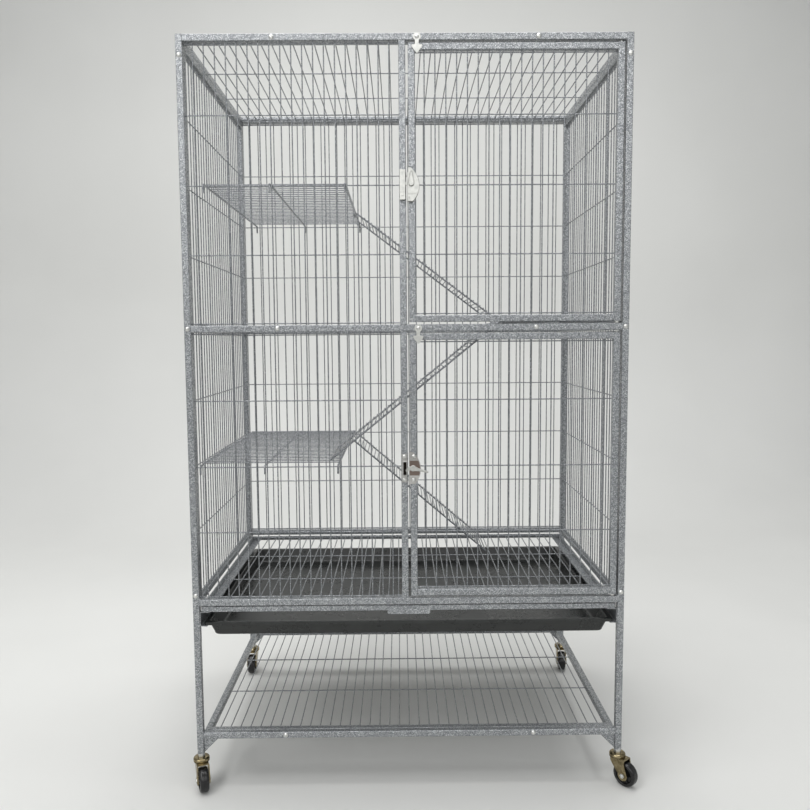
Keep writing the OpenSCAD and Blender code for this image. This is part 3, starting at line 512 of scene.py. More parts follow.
def grow(name, tree, verts, edges, attribute, kind, values, inputs, place=None):
    """Runs a tree on points and edges in millimetres and returns the result as a plain object."""
    seed_mesh = bpy.data.meshes.new(name + "_points")
    seed_mesh.from_pydata([Vector(p) * MM for p in verts], edges, [])
    layer = seed_mesh.attributes.new(attribute, kind, "POINT")
    for item, value in zip(layer.data, values):
        if kind == "BOOLEAN":
            item.value = value
        else:
            item.vector = value
    carrier = link(name + "_points", seed_mesh)
    modifier = carrier.modifiers.new("tree", "NODES")
    modifier.node_group = tree
    for item in tree.interface.items_tree:
        if item.item_type == "SOCKET" and item.in_out == "INPUT" and item.name in inputs:
            modifier[item.identifier] = inputs[item.name]
    mesh = evaluated(carrier)
    bpy.data.objects.remove(carrier)
    bpy.data.meshes.remove(seed_mesh)
    mesh.name = name
    mesh.materials.clear()
    mesh.materials.append(inputs["Material"])
    mesh.polygons.foreach_set("material_index", [0] * len(mesh.polygons))
    if place:
        mesh.transform(place)
    return link(name, mesh)


class Wires:
    """Collects wire paths and weld points of one piece, in millimetres."""

    def __init__(self):
        self.verts, self.edges, self.welds = [], [], []

    def path(self, points):
        first = len(self.verts)
        self.verts += [tuple(p) for p in points]
        self.welds += [False] * len(points)
        self.edges += [(first + k, first + k + 1) for k in range(len(points) - 1)]

    def weld(self, point):
        self.verts.append(tuple(point))
        self.welds.append(True)

    def cell(self, u0, u1, v0, v1, rows, put, bite=0.0):
        """Uprights along v in the outer layer and cross wires along u behind, welded together."""
        width = u1 - u0
        count = int((width - 2 * EDGE_MARGIN) / PITCH) + 1
        columns = [u0 + width / 2 + (i - (count - 1) / 2) * PITCH for i in range(count)]
        for u in columns:
            self.path([put(u, v0 - bite, LAYER), put(u, v1 + bite, LAYER)])
        for v in rows:
            self.path([put(u0 - bite, v, -LAYER), put(u1 + bite, v, -LAYER)])
        for u in columns:
            for v in rows:
                self.weld(put(u, v, 0.0))

    def build(self, name, body, nodes, weld_size, diameter=WIRE_D, sides=10, place=None):
        made = grow(name, WIRE_TREE, self.verts, self.edges, "weld", "BOOLEAN", self.welds, {
            "Wire Diameter": diameter * MM, "Sides": sides,
            "Weld Size": [s * MM for s in weld_size], "Seed": 1, "Material": WIRE_PAINT}, place)
        attach(made, body, nodes)


def scatter(name, source, points, facings, material, body, nodes, spin, seed):
    made = grow(name, SCATTER_TREE, points, [], "facing", "FLOAT_VECTOR", facings, {
        "Piece": source, "Spin": spin, "Seed": seed, "Material": material})
    attach(made, body, nodes)


def source_object(name, bm):
    """A small object in metres that a tree copies or a cut uses up."""
    bmesh.ops.scale(bm, vec=(MM, MM, MM), verts=bm.verts)
    return link(name, mesh_of(name, bm))


# ---------------------------------------------------------------- frames
def front_plane(sign):
    """Puts (u, v, outward) on the front or back frame's middle plane."""
    return lambda u, v, w: (u, sign * (POST_Y + w), v)


def side_plane(sign):
    return lambda u, v, w: (sign * (POST_X + w), u, v)


def level_plane(z):
    return lambda u, v, w: (u, v, z + TUBE / 2 + w)


def main_frame(bm, y, centre_post):
    for s in (-1, 1):
        tube(bm, (s * POST_X, y, LEG_Z), (s * POST_X, y, CAGE_H), (False, True))
        gusset(bm, s, y)
    for z in (SHELF_Z, BASE_Z, MID_Z, TOP_Z):
        tube(bm, (-IN_X, y, z + TUBE / 2), (IN_X, y, z + TUBE / 2))
    if centre_post:
        for z in (LOW_Z, UP_Z):
            tube(bm, (-TUBE / 2, y, z), (-TUBE / 2, y, z + OPENING))


def ring_frame(bm, put, u0, u1, v0, v1, rails):
    """Two stiles along v and rails between them; rails holds each rail's lower v."""
    for u in (u0 + TUBE / 2, u1 - TUBE / 2):
        tube(bm, put(u, v0, 0), put(u, v1, 0))
    for v in rails:
        tube(bm, put(u0 + TUBE, v + TUBE / 2, 0), put(u1 - TUBE, v + TUBE / 2, 0))


def rows_of(v0, v1, base):
    inner = [base + CROSS_INSET + k * CROSS_STEP for k in (1, 2, 3)]
    return [v0 + CROSS_INSET] + inner + [v1 - CROSS_INSET]


def level_rows():
    first, last = -IN_Y + TUBE + CROSS_INSET, IN_Y - TUBE - CROSS_INSET
    return [first + k * (last - first) / 3 for k in range(4)]


for name, y, centre in (("front_frame", -POST_Y, True), ("back_frame", POST_Y, False)):
    bm = bmesh.new()
    main_frame(bm, y, centre)
    settle(name + "_tubes", bm, PAINT, "cage", [name])

for name, sign in (("front", -1), ("back", 1)):
    wires = Wires()
    for z in (LOW_Z, UP_Z):
        right = -TUBE if sign < 0 else IN_X
        wires.cell(-IN_X, right, z, z + OPENING, rows_of(z, z + OPENING, z), front_plane(sign))
    wires.build(name + "_sheets", "cage", [name + "_wires"], (1.7, 0.9, 1.7))

for name, sign in (("left_side_panel", -1), ("right_side_panel", 1)):
    bm = bmesh.new()
    put = side_plane(sign)
    ring_frame(bm, put, -IN_Y, IN_Y, BASE_Z, TOP_Z, [BASE_Z, MID_Z, TOP_Z - TUBE])
    settle(name + "_tubes", bm, PAINT, "cage", [name])
    wires = Wires()
    for low, high, base in ((LOW_Z, MID_Z, LOW_Z), (UP_Z, TOP_Z - TUBE, UP_Z)):
        wires.cell(-IN_Y + TUBE, IN_Y - TUBE, low, high, rows_of(low, high, base), put, BITE)
    wires.build(name + "_wires", "cage", [name], (0.9, 1.7, 1.7))

LEVELS = (("top_panel", HALF_W, TOP_Z, True), ("mid_frame", IN_X, MID_Z, False),
          ("shelf_panel", IN_X, SHELF_Z, True))
for name, half, z, wired in LEVELS:
    bm = bmesh.new()
    put = level_plane(z)
    ring_frame(bm, put, -half, half, -IN_Y, IN_Y, [-IN_Y, IN_Y - TUBE])
    settle(name + "_tubes", bm, PAINT, "cage", [name])
    if wired:
        wires = Wires()
        wires.cell(-half + TUBE, half - TUBE, -IN_Y + TUBE, IN_Y - TUBE, level_rows(), put, BITE)
        wires.build(name + "_wires", "cage", [name], (1.7, 1.7, 0.9))

DOORS = (("upper_door", UP_Z + 4, UP_Z), ("lower_door", LOW_Z + 4, LOW_Z))
for name, z, base in DOORS:
    body = name + "_leaf"
    put = front_plane(-1)
    bm = bmesh.new()
    ring_frame(bm, put, DOOR_X0, DOOR_X1, z, z + DOOR_H, [z, z + DOOR_H - TUBE])
    settle(name + "_tubes", bm, PAINT, body, [name])
    wires = Wires()
    low, high = z + TUBE, z + DOOR_H - TUBE
    wires.cell(DOOR_X0 + TUBE, DOOR_X1 - TUBE, low, high, rows_of(low, high, base), put, BITE)
    wires.build(name + "_wires", body, [name], (1.7, 0.9, 1.7))


# ---------------------------------------------------------------- platforms and ramps
Y_WIRE = POST_Y - LAYER
HOOK_BEND = (BAR_D + WIRE_D) / 2 + 0.4
HOOK_DROP = 12.0
PLAIN_BAR_Y = 247.0
PLATFORM_WIRES = 26
RISE = (BAR_D + WIRE_D) / 2 - WELD
UP_BAR, LOW_BAR, MID_BAR = 1102.95, 604.95, 858.85
BARS = {
    "upper_platform": ((-355, -239, -107), UP_BAR, True),
    "middle_platform": ((172, 274.5, 377), MID_BAR, False),
    "lower_platform": ((-374, -258, -126), LOW_BAR, True),
}


def hooked_bar(x, z):
    """Path of a bar bent down at both ends over the panels' cross wires."""
    half = [(Y_WIRE + HOOK_BEND, z - HOOK_BEND - HOOK_DROP)]
    half += arc(Y_WIRE, z - HOOK_BEND, HOOK_BEND, 0, 90, 8)
    front = [(x, -y, h) for y, h in half]
    return front + [(x, y, h) for y, h in reversed(half)]


for name, (xs, z, hooked) in BARS.items():
    bars = Wires()
    for x in xs:
        plain = [(x, -PLAIN_BAR_Y, z), (x, PLAIN_BAR_Y, z)]
        bars.path(hooked_bar(x, z) if hooked else plain)
    bars.build(name + "_bars", "cage", [name], (1, 1, 1), BAR_D, 14)
    wires = Wires()
    for j in range(PLATFORM_WIRES):
        y = (j - (PLATFORM_WIRES - 1) / 2) * PITCH
        wires.path([(xs[0] - BAR_D / 2, y, z + RISE), (xs[-1] + BAR_D / 2, y, z + RISE)])
        for x in xs:
            wires.weld((x, y, z + BAR_D / 2))
    wires.build(name + "_wires", "cage", [name], (2.0, 1.7, 0.8))

RAMP_LEN, RUNG_PITCH, RAMP_GAP = 400.0, 9.4, 0.3
HOOK_ARM = BAR_D + RAMP_GAP
RAMP_Y = (5 * PITCH, 12 * PITCH)
RUNG_END = 3.0
LAST_RUNG = RAMP_LEN + WIRE_D / 2 - WELD


def ramp_slope(z, rest):
    """Slope in radians at which a ramp that hangs at one height rests on a surface at another."""
    drop = z - WIRE_D / 2 - rest - RAMP_GAP
    return math.asin(drop / math.hypot(LAST_RUNG, HOOK_ARM)) + math.atan(HOOK_ARM / LAST_RUNG)


# Where each ramp hangs, what it rests on, and to which side it falls
TOP_OF = RISE + WIRE_D / 2
RAMPS = {
    "upper": (BARS["upper_platform"][0][-1], UP_BAR, MID_BAR + TOP_OF, 1),
    "middle": (BARS["middle_platform"][0][0], MID_BAR, LOW_BAR + TOP_OF, -1),
    "lower": (BARS["lower_platform"][0][-1], LOW_BAR, GRATE_TOP, 1),
}
for name, (x, z, rest, way) in RAMPS.items():
    turn = Matrix.Rotation(ramp_slope(z, rest), 4, "Y")
    if way < 0:
        turn = turned(180, "Z") @ turn
    place = moved(x * MM, 0, z * MM) @ turn
    rails, rungs = Wires(), Wires()
    for y in RAMP_Y:
        hook = [(px, y, pz) for px, pz in arc(0, 0, HOOK_ARM, 280, 90, 16)]
        rails.path(hook + [(RAMP_LEN, y, HOOK_ARM)])
    count = int((RAMP_LEN - RUNG_PITCH / 2) / RUNG_PITCH)
    places = [(i * RUNG_PITCH, HOOK_ARM + RISE) for i in range(1, count + 1)]
    for px, pz in places + [(LAST_RUNG, HOOK_ARM)]:
        rungs.path([(px, RAMP_Y[0] - RUNG_END, pz), (px, RAMP_Y[1] + RUNG_END, pz)])
    for px, pz in places:
        for y in RAMP_Y:
            rungs.weld((px, y, HOOK_ARM + BAR_D / 2))
    body, nodes = name + "_ladder", [name + "_ramp"]
    rails.build(name + "_ramp_rails", body, nodes, (1, 1, 1), BAR_D, 14, place)
    rungs.build(name + "_ramp_rungs", body, nodes, (1.5, 2.0, 0.8), place=place)


# ---------------------------------------------------------------- screws and cuts
def dome(bm, head_d, head_h, shank_d, shank):
    """Domed screw on local Z, head up, underside at zero."""
    r = (head_h ** 2 + head_d ** 2 / 4) / (2 * head_h)
    edge = math.degrees(math.asin(head_d / 2 / r))
    cap = [(r * math.sin(math.radians(a)), head_h - r + r * math.cos(math.radians(a)))
           for a in [edge * k / 6 for k in range(7)]]
    profile = [(0.0, -shank), (shank_d / 2, -shank), (shank_d / 2, 0.0), (head_d / 2, 0.0)]
    lathe(bm, profile + list(reversed(cap)), segments=20)


def screw_source(name, head_d, head_h, shank):
    """Screw head with its recess cut by a cross of two bars."""
    head, bars = bmesh.new(), bmesh.new()
    dome(head, head_d, head_h, 4.0, shank)
    reach, half = head_d * 0.26, 0.5
    outline = [(-reach, -half), (reach, -half), (reach, half), (-reach, half)]
    for degrees in (0, 90):
        slab(bars, outline, 3.0, moved(0, 0, head_h - 1.0) @ turned(degrees, "Z"))
    solid = source_object(name, head)
    cut(solid, bars)
    return solid


def cut(solid, tools, operation="DIFFERENCE"):
    """Boolean of an object and a bmesh in millimetres, kept as the object's own mesh."""
    cutter = source_object(solid.name + "_tools", tools)
    modifier = solid.modifiers.new("cut", "BOOLEAN")
    modifier.operation = operation
    modifier.solver = "EXACT"
    modifier.use_self = True
    modifier.object = cutter
    mesh = evaluated(solid)
    solid.modifiers.clear()
    solid.data = mesh
    bpy.data.objects.remove(cutter)


def cut_piece(name, bm, tools, material, body, nodes):
    """One mesh cut from another, as a finished piece."""
    solid = source_object(name, bm)
    cut(solid, tools)
    bm = bmesh.new()
    bm.from_mesh(solid.data)
    smooth_between(bm, 32)
    bm.to_mesh(solid.data)
    bm.free()
    solid.data.materials.clear()
    solid.data.materials.append(material)
    shade_flats(solid)
    attach(solid, body, nodes)


frame_screw = screw_source("frame_screw", 9.0, 2.8, 22.0)
small_screw = screw_source("small_screw", 7.5, 2.0, 12.0)
BUTTON_Z = {"upper": TOP_Z + 5, "lower": MID_Z + 5}
LATCH_Z = {"upper": UP_Z + OPENING * 0.497, "lower": LOW_Z + OPENING * 0.495}
BUTTON_X, KEEPER_X = 20.0, -6.3
MID_SCREW_X, KEEPER_IN = 230.0, 21.25
SCREW_SPIN = 1.5

spots, ways = [], []
for sy in (-1, 1):
    for sx in (-1, 1):
        spots += [(sx * POST_X, sy * HALF_D, z) for z in (LOW_Z + 7, MID_Z + TUBE / 2, TOP_Z - 23)]
        spots += [(sx * MID_SCREW_X, sy * HALF_D, z + TUBE / 2) for z in (SHELF_Z, MID_Z, TOP_Z)]
    ways += [(0, sy, 0)] * 12
scatter("domed_frame_screws", frame_screw, spots, ways, ZINC, "cage", ["frame_screws"],
        SCREW_SPIN, 3)
latch_screws = [LATCH_Z["lower"] + side * KEEPER_IN for side in (-1, 1)]
for name, x, off, heights, body, node, seed in (
        ("keeper_screw_heads", KEEPER_X, 3.0, latch_screws, "cage", "keeper_screws", 5),
        ("plate_screw_heads", 10.5, 2.0, latch_screws, "lower_door_leaf", "lower_latch_screws", 7),
        ("turn_button_screws", BUTTON_X, 3.1, BUTTON_Z.values(), "cage", "button_screws", 9)):
    places = [(x, -HALF_D - off, z) for z in heights]
    scatter(name, small_screw, places, [(0, -1, 0)] * 2, ZINC, body, [node], SCREW_SPIN, seed)


# ---------------------------------------------------------------- latches and turn buttons
# The D outline that both latches share: its place, size, round and the height of the round's middle
CASE_X, CASE_W, CASE_H, CASE_R, CASE_MID = 1.8, 21.6, 58.0, 38.5, 0.47
THUMB_X, THUMB_Z = CASE_X + 7.2, LATCH_Z["upper"] + 2
KEEPER = (-11.5, -26, -1.1, 26, 1.5)
PIVOT_X, DISH_HALF = 9.3, 13.4


def case_outline():
    """D shape with a straight left side, from its lower left corner."""
    cy = CASE_H * CASE_MID
    low = -math.degrees(math.asin(cy / CASE_R))
    high = math.degrees(math.asin((CASE_H - cy) / CASE_R))
    return [(0, 0)] + arc(CASE_W - CASE_R, cy, CASE_R, low, high, 22) + [(0, CASE_H)]


def tear_drop(r, tip_r, length):
    """Round at the bottom and drawn out to a small round tip."""
    a = math.degrees(math.acos((r - tip_r) / length))
    return arc(0, 0, r, 90 + a - 360, 90 - a, 16) + arc(0, length, tip_r, 90 - a, 90 + a, 6)


def crescent(cx, cy, r, width, start, end, steps):
    outer = arc(cx, cy, r + width / 2, start, end, steps)
    return outer + arc(cx, cy, r - width / 2, end, start, steps)


def upper_case():
    """Cast case: a nose at the top, a deep thumb recess, a curved joint and a screw pit."""
    z0 = LATCH_Z["upper"] - CASE_H / 2
    body, tools = bmesh.new(), bmesh.new()
    slab(body, case_outline(), 8.0, on_front(CASE_X, z0, 0), bevel=1.1, segments=3)
    slab(tools, tear_drop(6.4, 2.6, 18.5), 3.0, on_front(THUMB_X, THUMB_Z, 6.0))
    slab(tools, crescent(7.0, 32.3, 20.0, 1.3, -125, -30, 28), 3.0, on_front(CASE_X, z0, 6.9))
    slab(tools, rounded_outline(2.6, 4.2, 4.4, 8.2, 0.8), 5.0, on_front(CASE_X, z0, 5.0))
    slab(tools, rounded_outline(-4.0, 49.5, 1.9, 62.0, 1.2), 12.0, on_front(CASE_X, z0, -2.0))
    cut_piece("upper_latch_body", body, tools, CAST, "upper_door_leaf", ["upper_latch_case"])


def thumb_bolt():
    """Tear-drop thumb piece on a square neck, with the flat bolt behind it."""
    bm = bmesh.new()
    slab(bm, tear_drop(4.5, 1.1, 18.0), 2.0, on_front(THUMB_X, THUMB_Z, 8.3), bevel=0.7, segments=3)
    slab(bm, rounded_outline(-2, -2, 2, 2, 0.6), 3.6, on_front(THUMB_X, THUMB_Z, 4.9))
    slab(bm, rounded_outline(-4.7, -3, 11.8, 3, 1.0), 3.0, on_front(0, THUMB_Z, 2.3), bevel=0.5)
    settle("upper_latch_thumb_bolt", bm, CAST, "upper_bolt", ["upper_latch_bolt"])


def upper_keeper():
    """Cast keeper: a mouth for the bolt, a joint line, a screw pit and a slot."""
    z = LATCH_Z["upper"]
    bm, tools = bmesh.new(), bmesh.new()
    slab(bm, rounded_outline(*KEEPER), 7.0, on_front(0, z, 0), bevel=0.8, segments=3)
    slab(tools, rounded_outline(-4.9, -1.3, 0, 5.3, 0.8), 3.6, on_front(0, z, 2.0))
    slab(tools, rounded_outline(-14.0, -13.9, 2.0, -12.6, 0.3), 3.0, on_front(0, z, 5.9))
    slab(tools, arc(KEEPER_X, -20.0, 1.8, 0, 345, 23), 4.0, on_front(0, z, 5.0))
    slab(tools, rounded_outline(-7.2, 17.5, -5.4, 21.5, 0.8), 4.0, on_front(0, z, 5.6))
    cut_piece("upper_latch_keeper", bm, tools, CAST, "cage", ["upper_keeper"])


def lower_keeper():
    """Polished keeper: a flat plate with a raised box that the lever's beak enters."""
    z = LATCH_Z["lower"]
    bm, tools = bmesh.new(), bmesh.new()
    slab(bm, rounded_outline(*KEEPER), 3.0, on_front(0, z, 0), bevel=0.7)
    slab(bm, rounded_outline(-10.5, -13.5, -1.1, 13.5, 1.5), 8.1, on_front(0, z, 0), bevel=0.8)
    slab(tools, rounded_outline(-8.5, -11.5, 2, 11.5, 1.0), 4.6, on_front(0, z, 2.0))
    slab(tools, rounded_outline(-8.2, -12.0, -2.6, 12.0, 1.2), 8.0, on_front(0, z, 1.0))
    cut_piece("lower_latch_keeper", bm, tools, KEEPER_CHROME, "cage", ["lower_keeper"])


def latch_plate():
    """Polished plate with a raised D rim round a dish, and a raised pad under each screw."""
    at = on_front(CASE_X, LATCH_Z["lower"], 0)
    body, tools = bmesh.new(), bmesh.new()
    slab(body, [(x, y - CASE_H / 2) for x, y in case_outline()], 2.0, at, bevel=0.5)
    cx, cy, r = CASE_W - CASE_R, CASE_H * (CASE_MID - 0.5), CASE_R - 1.5
    low, high = (math.degrees(math.asin((z - cy) / r)) for z in (-DISH_HALF, DISH_HALF))
    dish = [(1.4, -DISH_HALF)] + arc(cx, cy, r, low, high, 20) + [(1.4, DISH_HALF)]
    slab(tools, dish, 4.0, at @ moved(0, 0, 1.1))
    step = [(-2, 14.8), (24, 14.8), (24, 31), (-2, 31),
            (-2, 25.6), (11.6, 25.6), (11.6, 16.6), (-2, 16.6)]
    for outline in (step, [(x, -y) for x, y in reversed(step)]):
        slab(tools, outline, 4.0, at @ moved(0, 0, 1.75))
    cut_piece("lower_plate_body", body, tools, CHROME, "lower_door_leaf", ["lower_latch_plate"])
    bm = bmesh.new()
    lathe(bm, [(0, -0.9), (4.9, -0.9), (4.9, 0.2), (2.0, 0.3), (2.0, 4.8), (0, 4.8)],
          on_front(PIVOT_X, LATCH_Z["lower"], 2.0), 32)
    settle("lower_latch_pivot", bm, CAST, "lower_door_leaf", ["lower_latch_plate"])


def lever():
    """Cast lever: a hub with a rim, a beak to the left and a tapering handle with a ball end."""
    bm = bmesh.new()
    at = on_front(PIVOT_X, LATCH_Z["lower"], 2.3)
    lathe(bm, [(2.05, 0.0), (5.2, 0.0), (5.5, 0.4), (5.5, 3.0), (4.8, 3.8), (3.4, 4.0),
               (2.05, 3.6)], at, 40)
    handle = [(3.0, -4.2), (11, -2.5), (20, -1.7), (26.4, -1.7)]
    handle += arc(26.4, 0, 2.1, -55, 55, 6) + [(26.4, 1.7), (20, 1.7), (11, 2.5), (3.0, 4.2)]
    slab(bm, handle, 3.4, at @ turned(-15, "Z") @ moved(0, 0, 0.3), bevel=0.9, segments=3)
    beak = [(-3.2, 4.0), (-8.0, 2.8), (-11.2, 1.0), (-13.6, -3.0), (-12.5, -6.6), (-9.2, -6.2),
            (-8.2, -3.0), (-3.2, -4.0)]
    slab(bm, beak, 3.4, at @ moved(0, 0, 0.3), bevel=0.7)
    settle("lower_latch_lever_casting", bm, CAST, "lower_lever", ["lower_latch_lever"])


def button(name, z):
    """Stamped turn button: ring, neck and arrow head, with a rolled edge."""
    left = [(-3.25, -6.0), (-3.25, -12.3), (-4.4, -13.3), (-8.6, -13.3), (-9.25, -14.1),
            (-7.8, -18.3), (-1.0, -27.3)]
    right = [(-x, y) for x, y in reversed(left)]
    outline = left + right + arc(0, 0, 6.75, -61, 241, 30)
    bm, hole = bmesh.new(), bmesh.new()
    slab(bm, outline, 2.5, on_front(BUTTON_X, z, 0.3), bevel=0.6)
    slab(hole, arc(BUTTON_X, z, 2.1, 0, 348, 29), 6.0, moved(0, -258, 0) @ turned(90, "X"))
    cut_piece(name + "_turn_button_stamping", bm, hole, CAST, name + "_turn_button",
              [name + "_button"])


upper_case()
thumb_bolt()
upper_keeper()
lower_keeper()
latch_plate()
lever()
for name, z in BUTTON_Z.items():
    button(name, z)


# ---------------------------------------------------------------- hinge pins
PLUG_OUTLINE = rounded_outline(-5, -5, 5, 5, 0.6)
PIN_BLOCK = 20.0
for name, z, base in DOORS:
    bm = bmesh.new()
    axis = moved(HINGE_X, -POST_Y, 0)
    for low, high in ((z - 8, z), (z + DOOR_H, z + DOOR_H + 8)):
        lathe(bm, [(0, low), (1.6, low), (2.0, low + 0.4), (2.0, high - 0.4), (2.0, high),
                   (0, high)], axis, 24)
    lathe(bm, [(2.0, z - 3.7), (4.2, z - 3.7), (4.5, z - 3.4), (4.5, z - 0.3), (4.2, z), (2.0, z)],
          axis, 28)
    for low in (z, z + DOOR_H - PIN_BLOCK):
        slab(bm, PLUG_OUTLINE, PIN_BLOCK, axis @ moved(0, 0, low), bevel=0.3)
    settle(name + "_hinge_pins", bm, ZINC, name + "_leaf", [name + "_pins"])


# ---------------------------------------------------------------- grate
EDGING = 2.5


def strip_ring(bm, x0, y0, x1, y1, z0, z1, thick, radius):
    """Flat strip bent on edge round four corners, with rounded rims."""
    rim = 0.5
    rings = []
    for inset, z in ((rim, z0), (0, z0 + rim), (0, z1 - rim), (rim, z1),
                     (thick - rim, z1), (thick, z1 - rim), (thick, z0 + rim), (thick - rim, z0)):
        outline = rounded_outline(x0 + inset, y0 + inset, x1 - inset, y1 - inset, radius - inset, 5)
        rings.append([(x, y, z) for x, y in outline])
    loft(bm, rings, loop=True)


bm = bmesh.new()
strip_ring(bm, -GRATE_X, GRATE_Y0, GRATE_X, GRATE_Y1, GRATE_Z, GRATE_TOP, EDGING, 5.0)
slab(bm, rounded_outline(-39, -15, 39, 0, 3.5, 6), 1.5,
     moved(0, GRATE_Y0, GRATE_TOP - 1) @ turned(90, "X"), bevel=0.4)
settle("grate_edging_and_pull", bm, PAINT, "grate_drawer", ["grate"])
wires = Wires()
inner_y0, inner_y1 = GRATE_Y0 + EDGING, GRATE_Y1 - EDGING
grate_z = GRATE_TOP - WIRE_D / 2 - TUBE / 2 - LAYER
span = inner_y1 - inner_y0
rows = [inner_y0 + CROSS_INSET + k * (span - 2 * CROSS_INSET) / 3 for k in range(4)]
wires.cell(-GRATE_X + EDGING, GRATE_X - EDGING, inner_y0, inner_y1, rows, level_plane(grate_z),
           EDGING / 2)
wires.build("grate_wires", "grate_drawer", ["grate"], (1.7, 1.7, 0.9))


# ---------------------------------------------------------------- tray and runners
TRAY_X, TRAY_Y0, TRAY_Y1 = 376.0, -256.0, 240.0
RIM_Z, TRAY_TOP, TRAY_Z = 309.7, 315.2, 285.2
RIM_W, TRAY_WALL, LEAN = 7.0, 2.0, 8.0


def tray():
    """Vacuum formed tray: leaning walls, rounded floor edge, a flat lip and a turned-down rim."""
    def ring(inset, z, radius):
        outline = rounded_outline(-TRAY_X + inset, TRAY_Y0 + inset, TRAY_X - inset, TRAY_Y1 - inset,
                                  radius, 6)
        return [(x, y, z) for x, y in outline]

    floor_z = TRAY_Z + TRAY_WALL
    inner = RIM_W + TRAY_WALL
    bend = 5.0
    lean_at = LEAN / (TRAY_TOP - TRAY_Z)
    quarter = [math.radians(90 * k / 4) for k in range(5)]
    rings = [ring(inner + LEAN + bend * (1 - math.sin(a)) - lean_at * 2,
                  floor_z + bend * (1 - math.cos(a)), 7 + 2 * math.sin(a)) for a in quarter]
    rings += [ring(*section) for section in (
        (inner + 0.8, TRAY_TOP - 2.0, 7), (inner - 0.4, TRAY_TOP - 0.5, 6.5),
        (inner - 1.6, TRAY_TOP, 6), (1.4, TRAY_TOP, 4.2), (0.4, TRAY_TOP - 0.4, 4.6),
        (0.0, TRAY_TOP - 1.4, 5), (0.0, RIM_Z, 5), (1.6, RIM_Z, 3.4),
        (1.7, TRAY_TOP - 2.6, 3.3), (2.6, TRAY_TOP - 2.0, 3),
        (RIM_W - 0.6, TRAY_TOP - 2.0, 4.4), (RIM_W, TRAY_TOP - 3.0, 5))]
    rings += [ring(RIM_W + LEAN + (bend + 1) * (1 - math.cos(a)) - lean_at * 3 * math.cos(a),
                   TRAY_Z + (bend + 1) * (1 - math.sin(a)), 7) for a in quarter]
    bm = bmesh.new()
    loft(bm, rings)
    settle("black_tray_moulding", bm, TRAY_PLASTIC, "tray_drawer", ["tray"], angle=40)


tray()

RUNNER_Z, RUNNER_TOP, SHEET = 308.2, 335.2, 1.2
RUNNER_Y = 258.0
FLANGE_TOP, FLANGE_LOW = IN_X - 18, IN_X - 13


def runner(sign):
    """Roll-formed channel: upper flange, web and lower flange of one sheet with round bends."""
    bend = 2.0
    tight = bend - SHEET
    x, low, high = IN_X - bend, RUNNER_Z + bend, RUNNER_TOP - bend
    outline = [(FLANGE_TOP, RUNNER_TOP)] + arc(x, high, bend, 0, 90, 5)[::-1]
    outline += arc(x, low, bend, -90, 0, 5)[::-1] + [(FLANGE_LOW, RUNNER_Z)]
    outline += [(FLANGE_LOW, RUNNER_Z + SHEET)] + arc(x, low, tight, -90, 0, 5)
    outline += arc(x, high, tight, 0, 90, 5) + [(FLANGE_TOP, RUNNER_TOP - SHEET)]
    bm = bmesh.new()
    loft(bm, [[(sign * u, y, v) for u, v in outline] for y in (-RUNNER_Y, RUNNER_Y)])
    name = "left_runner" if sign < 0 else "right_runner"
    settle(name + "_channel", bm, PAINT, "cage", [name])


runner(-1)
runner(1)


# ---------------------------------------------------------------- castors
PLATE_Z, FORK_T, AXLE_Z = 49.7, 2.0, 22.5
CHEEK_Y = 9.5
AXLE_HALF = CHEEK_Y + FORK_T


def castor_place(name):
    sx = -1 if "left" in name else 1
    sy = -1 if "front" in name else 1
    return moved(sx * POST_X, sy * POST_Y, 0) @ turned(CASTOR_TURNS[name], "Z")


def axle_place(name):
    return castor_place(name) @ moved(TRAIL, 0, AXLE_Z) @ turned(90, "X")


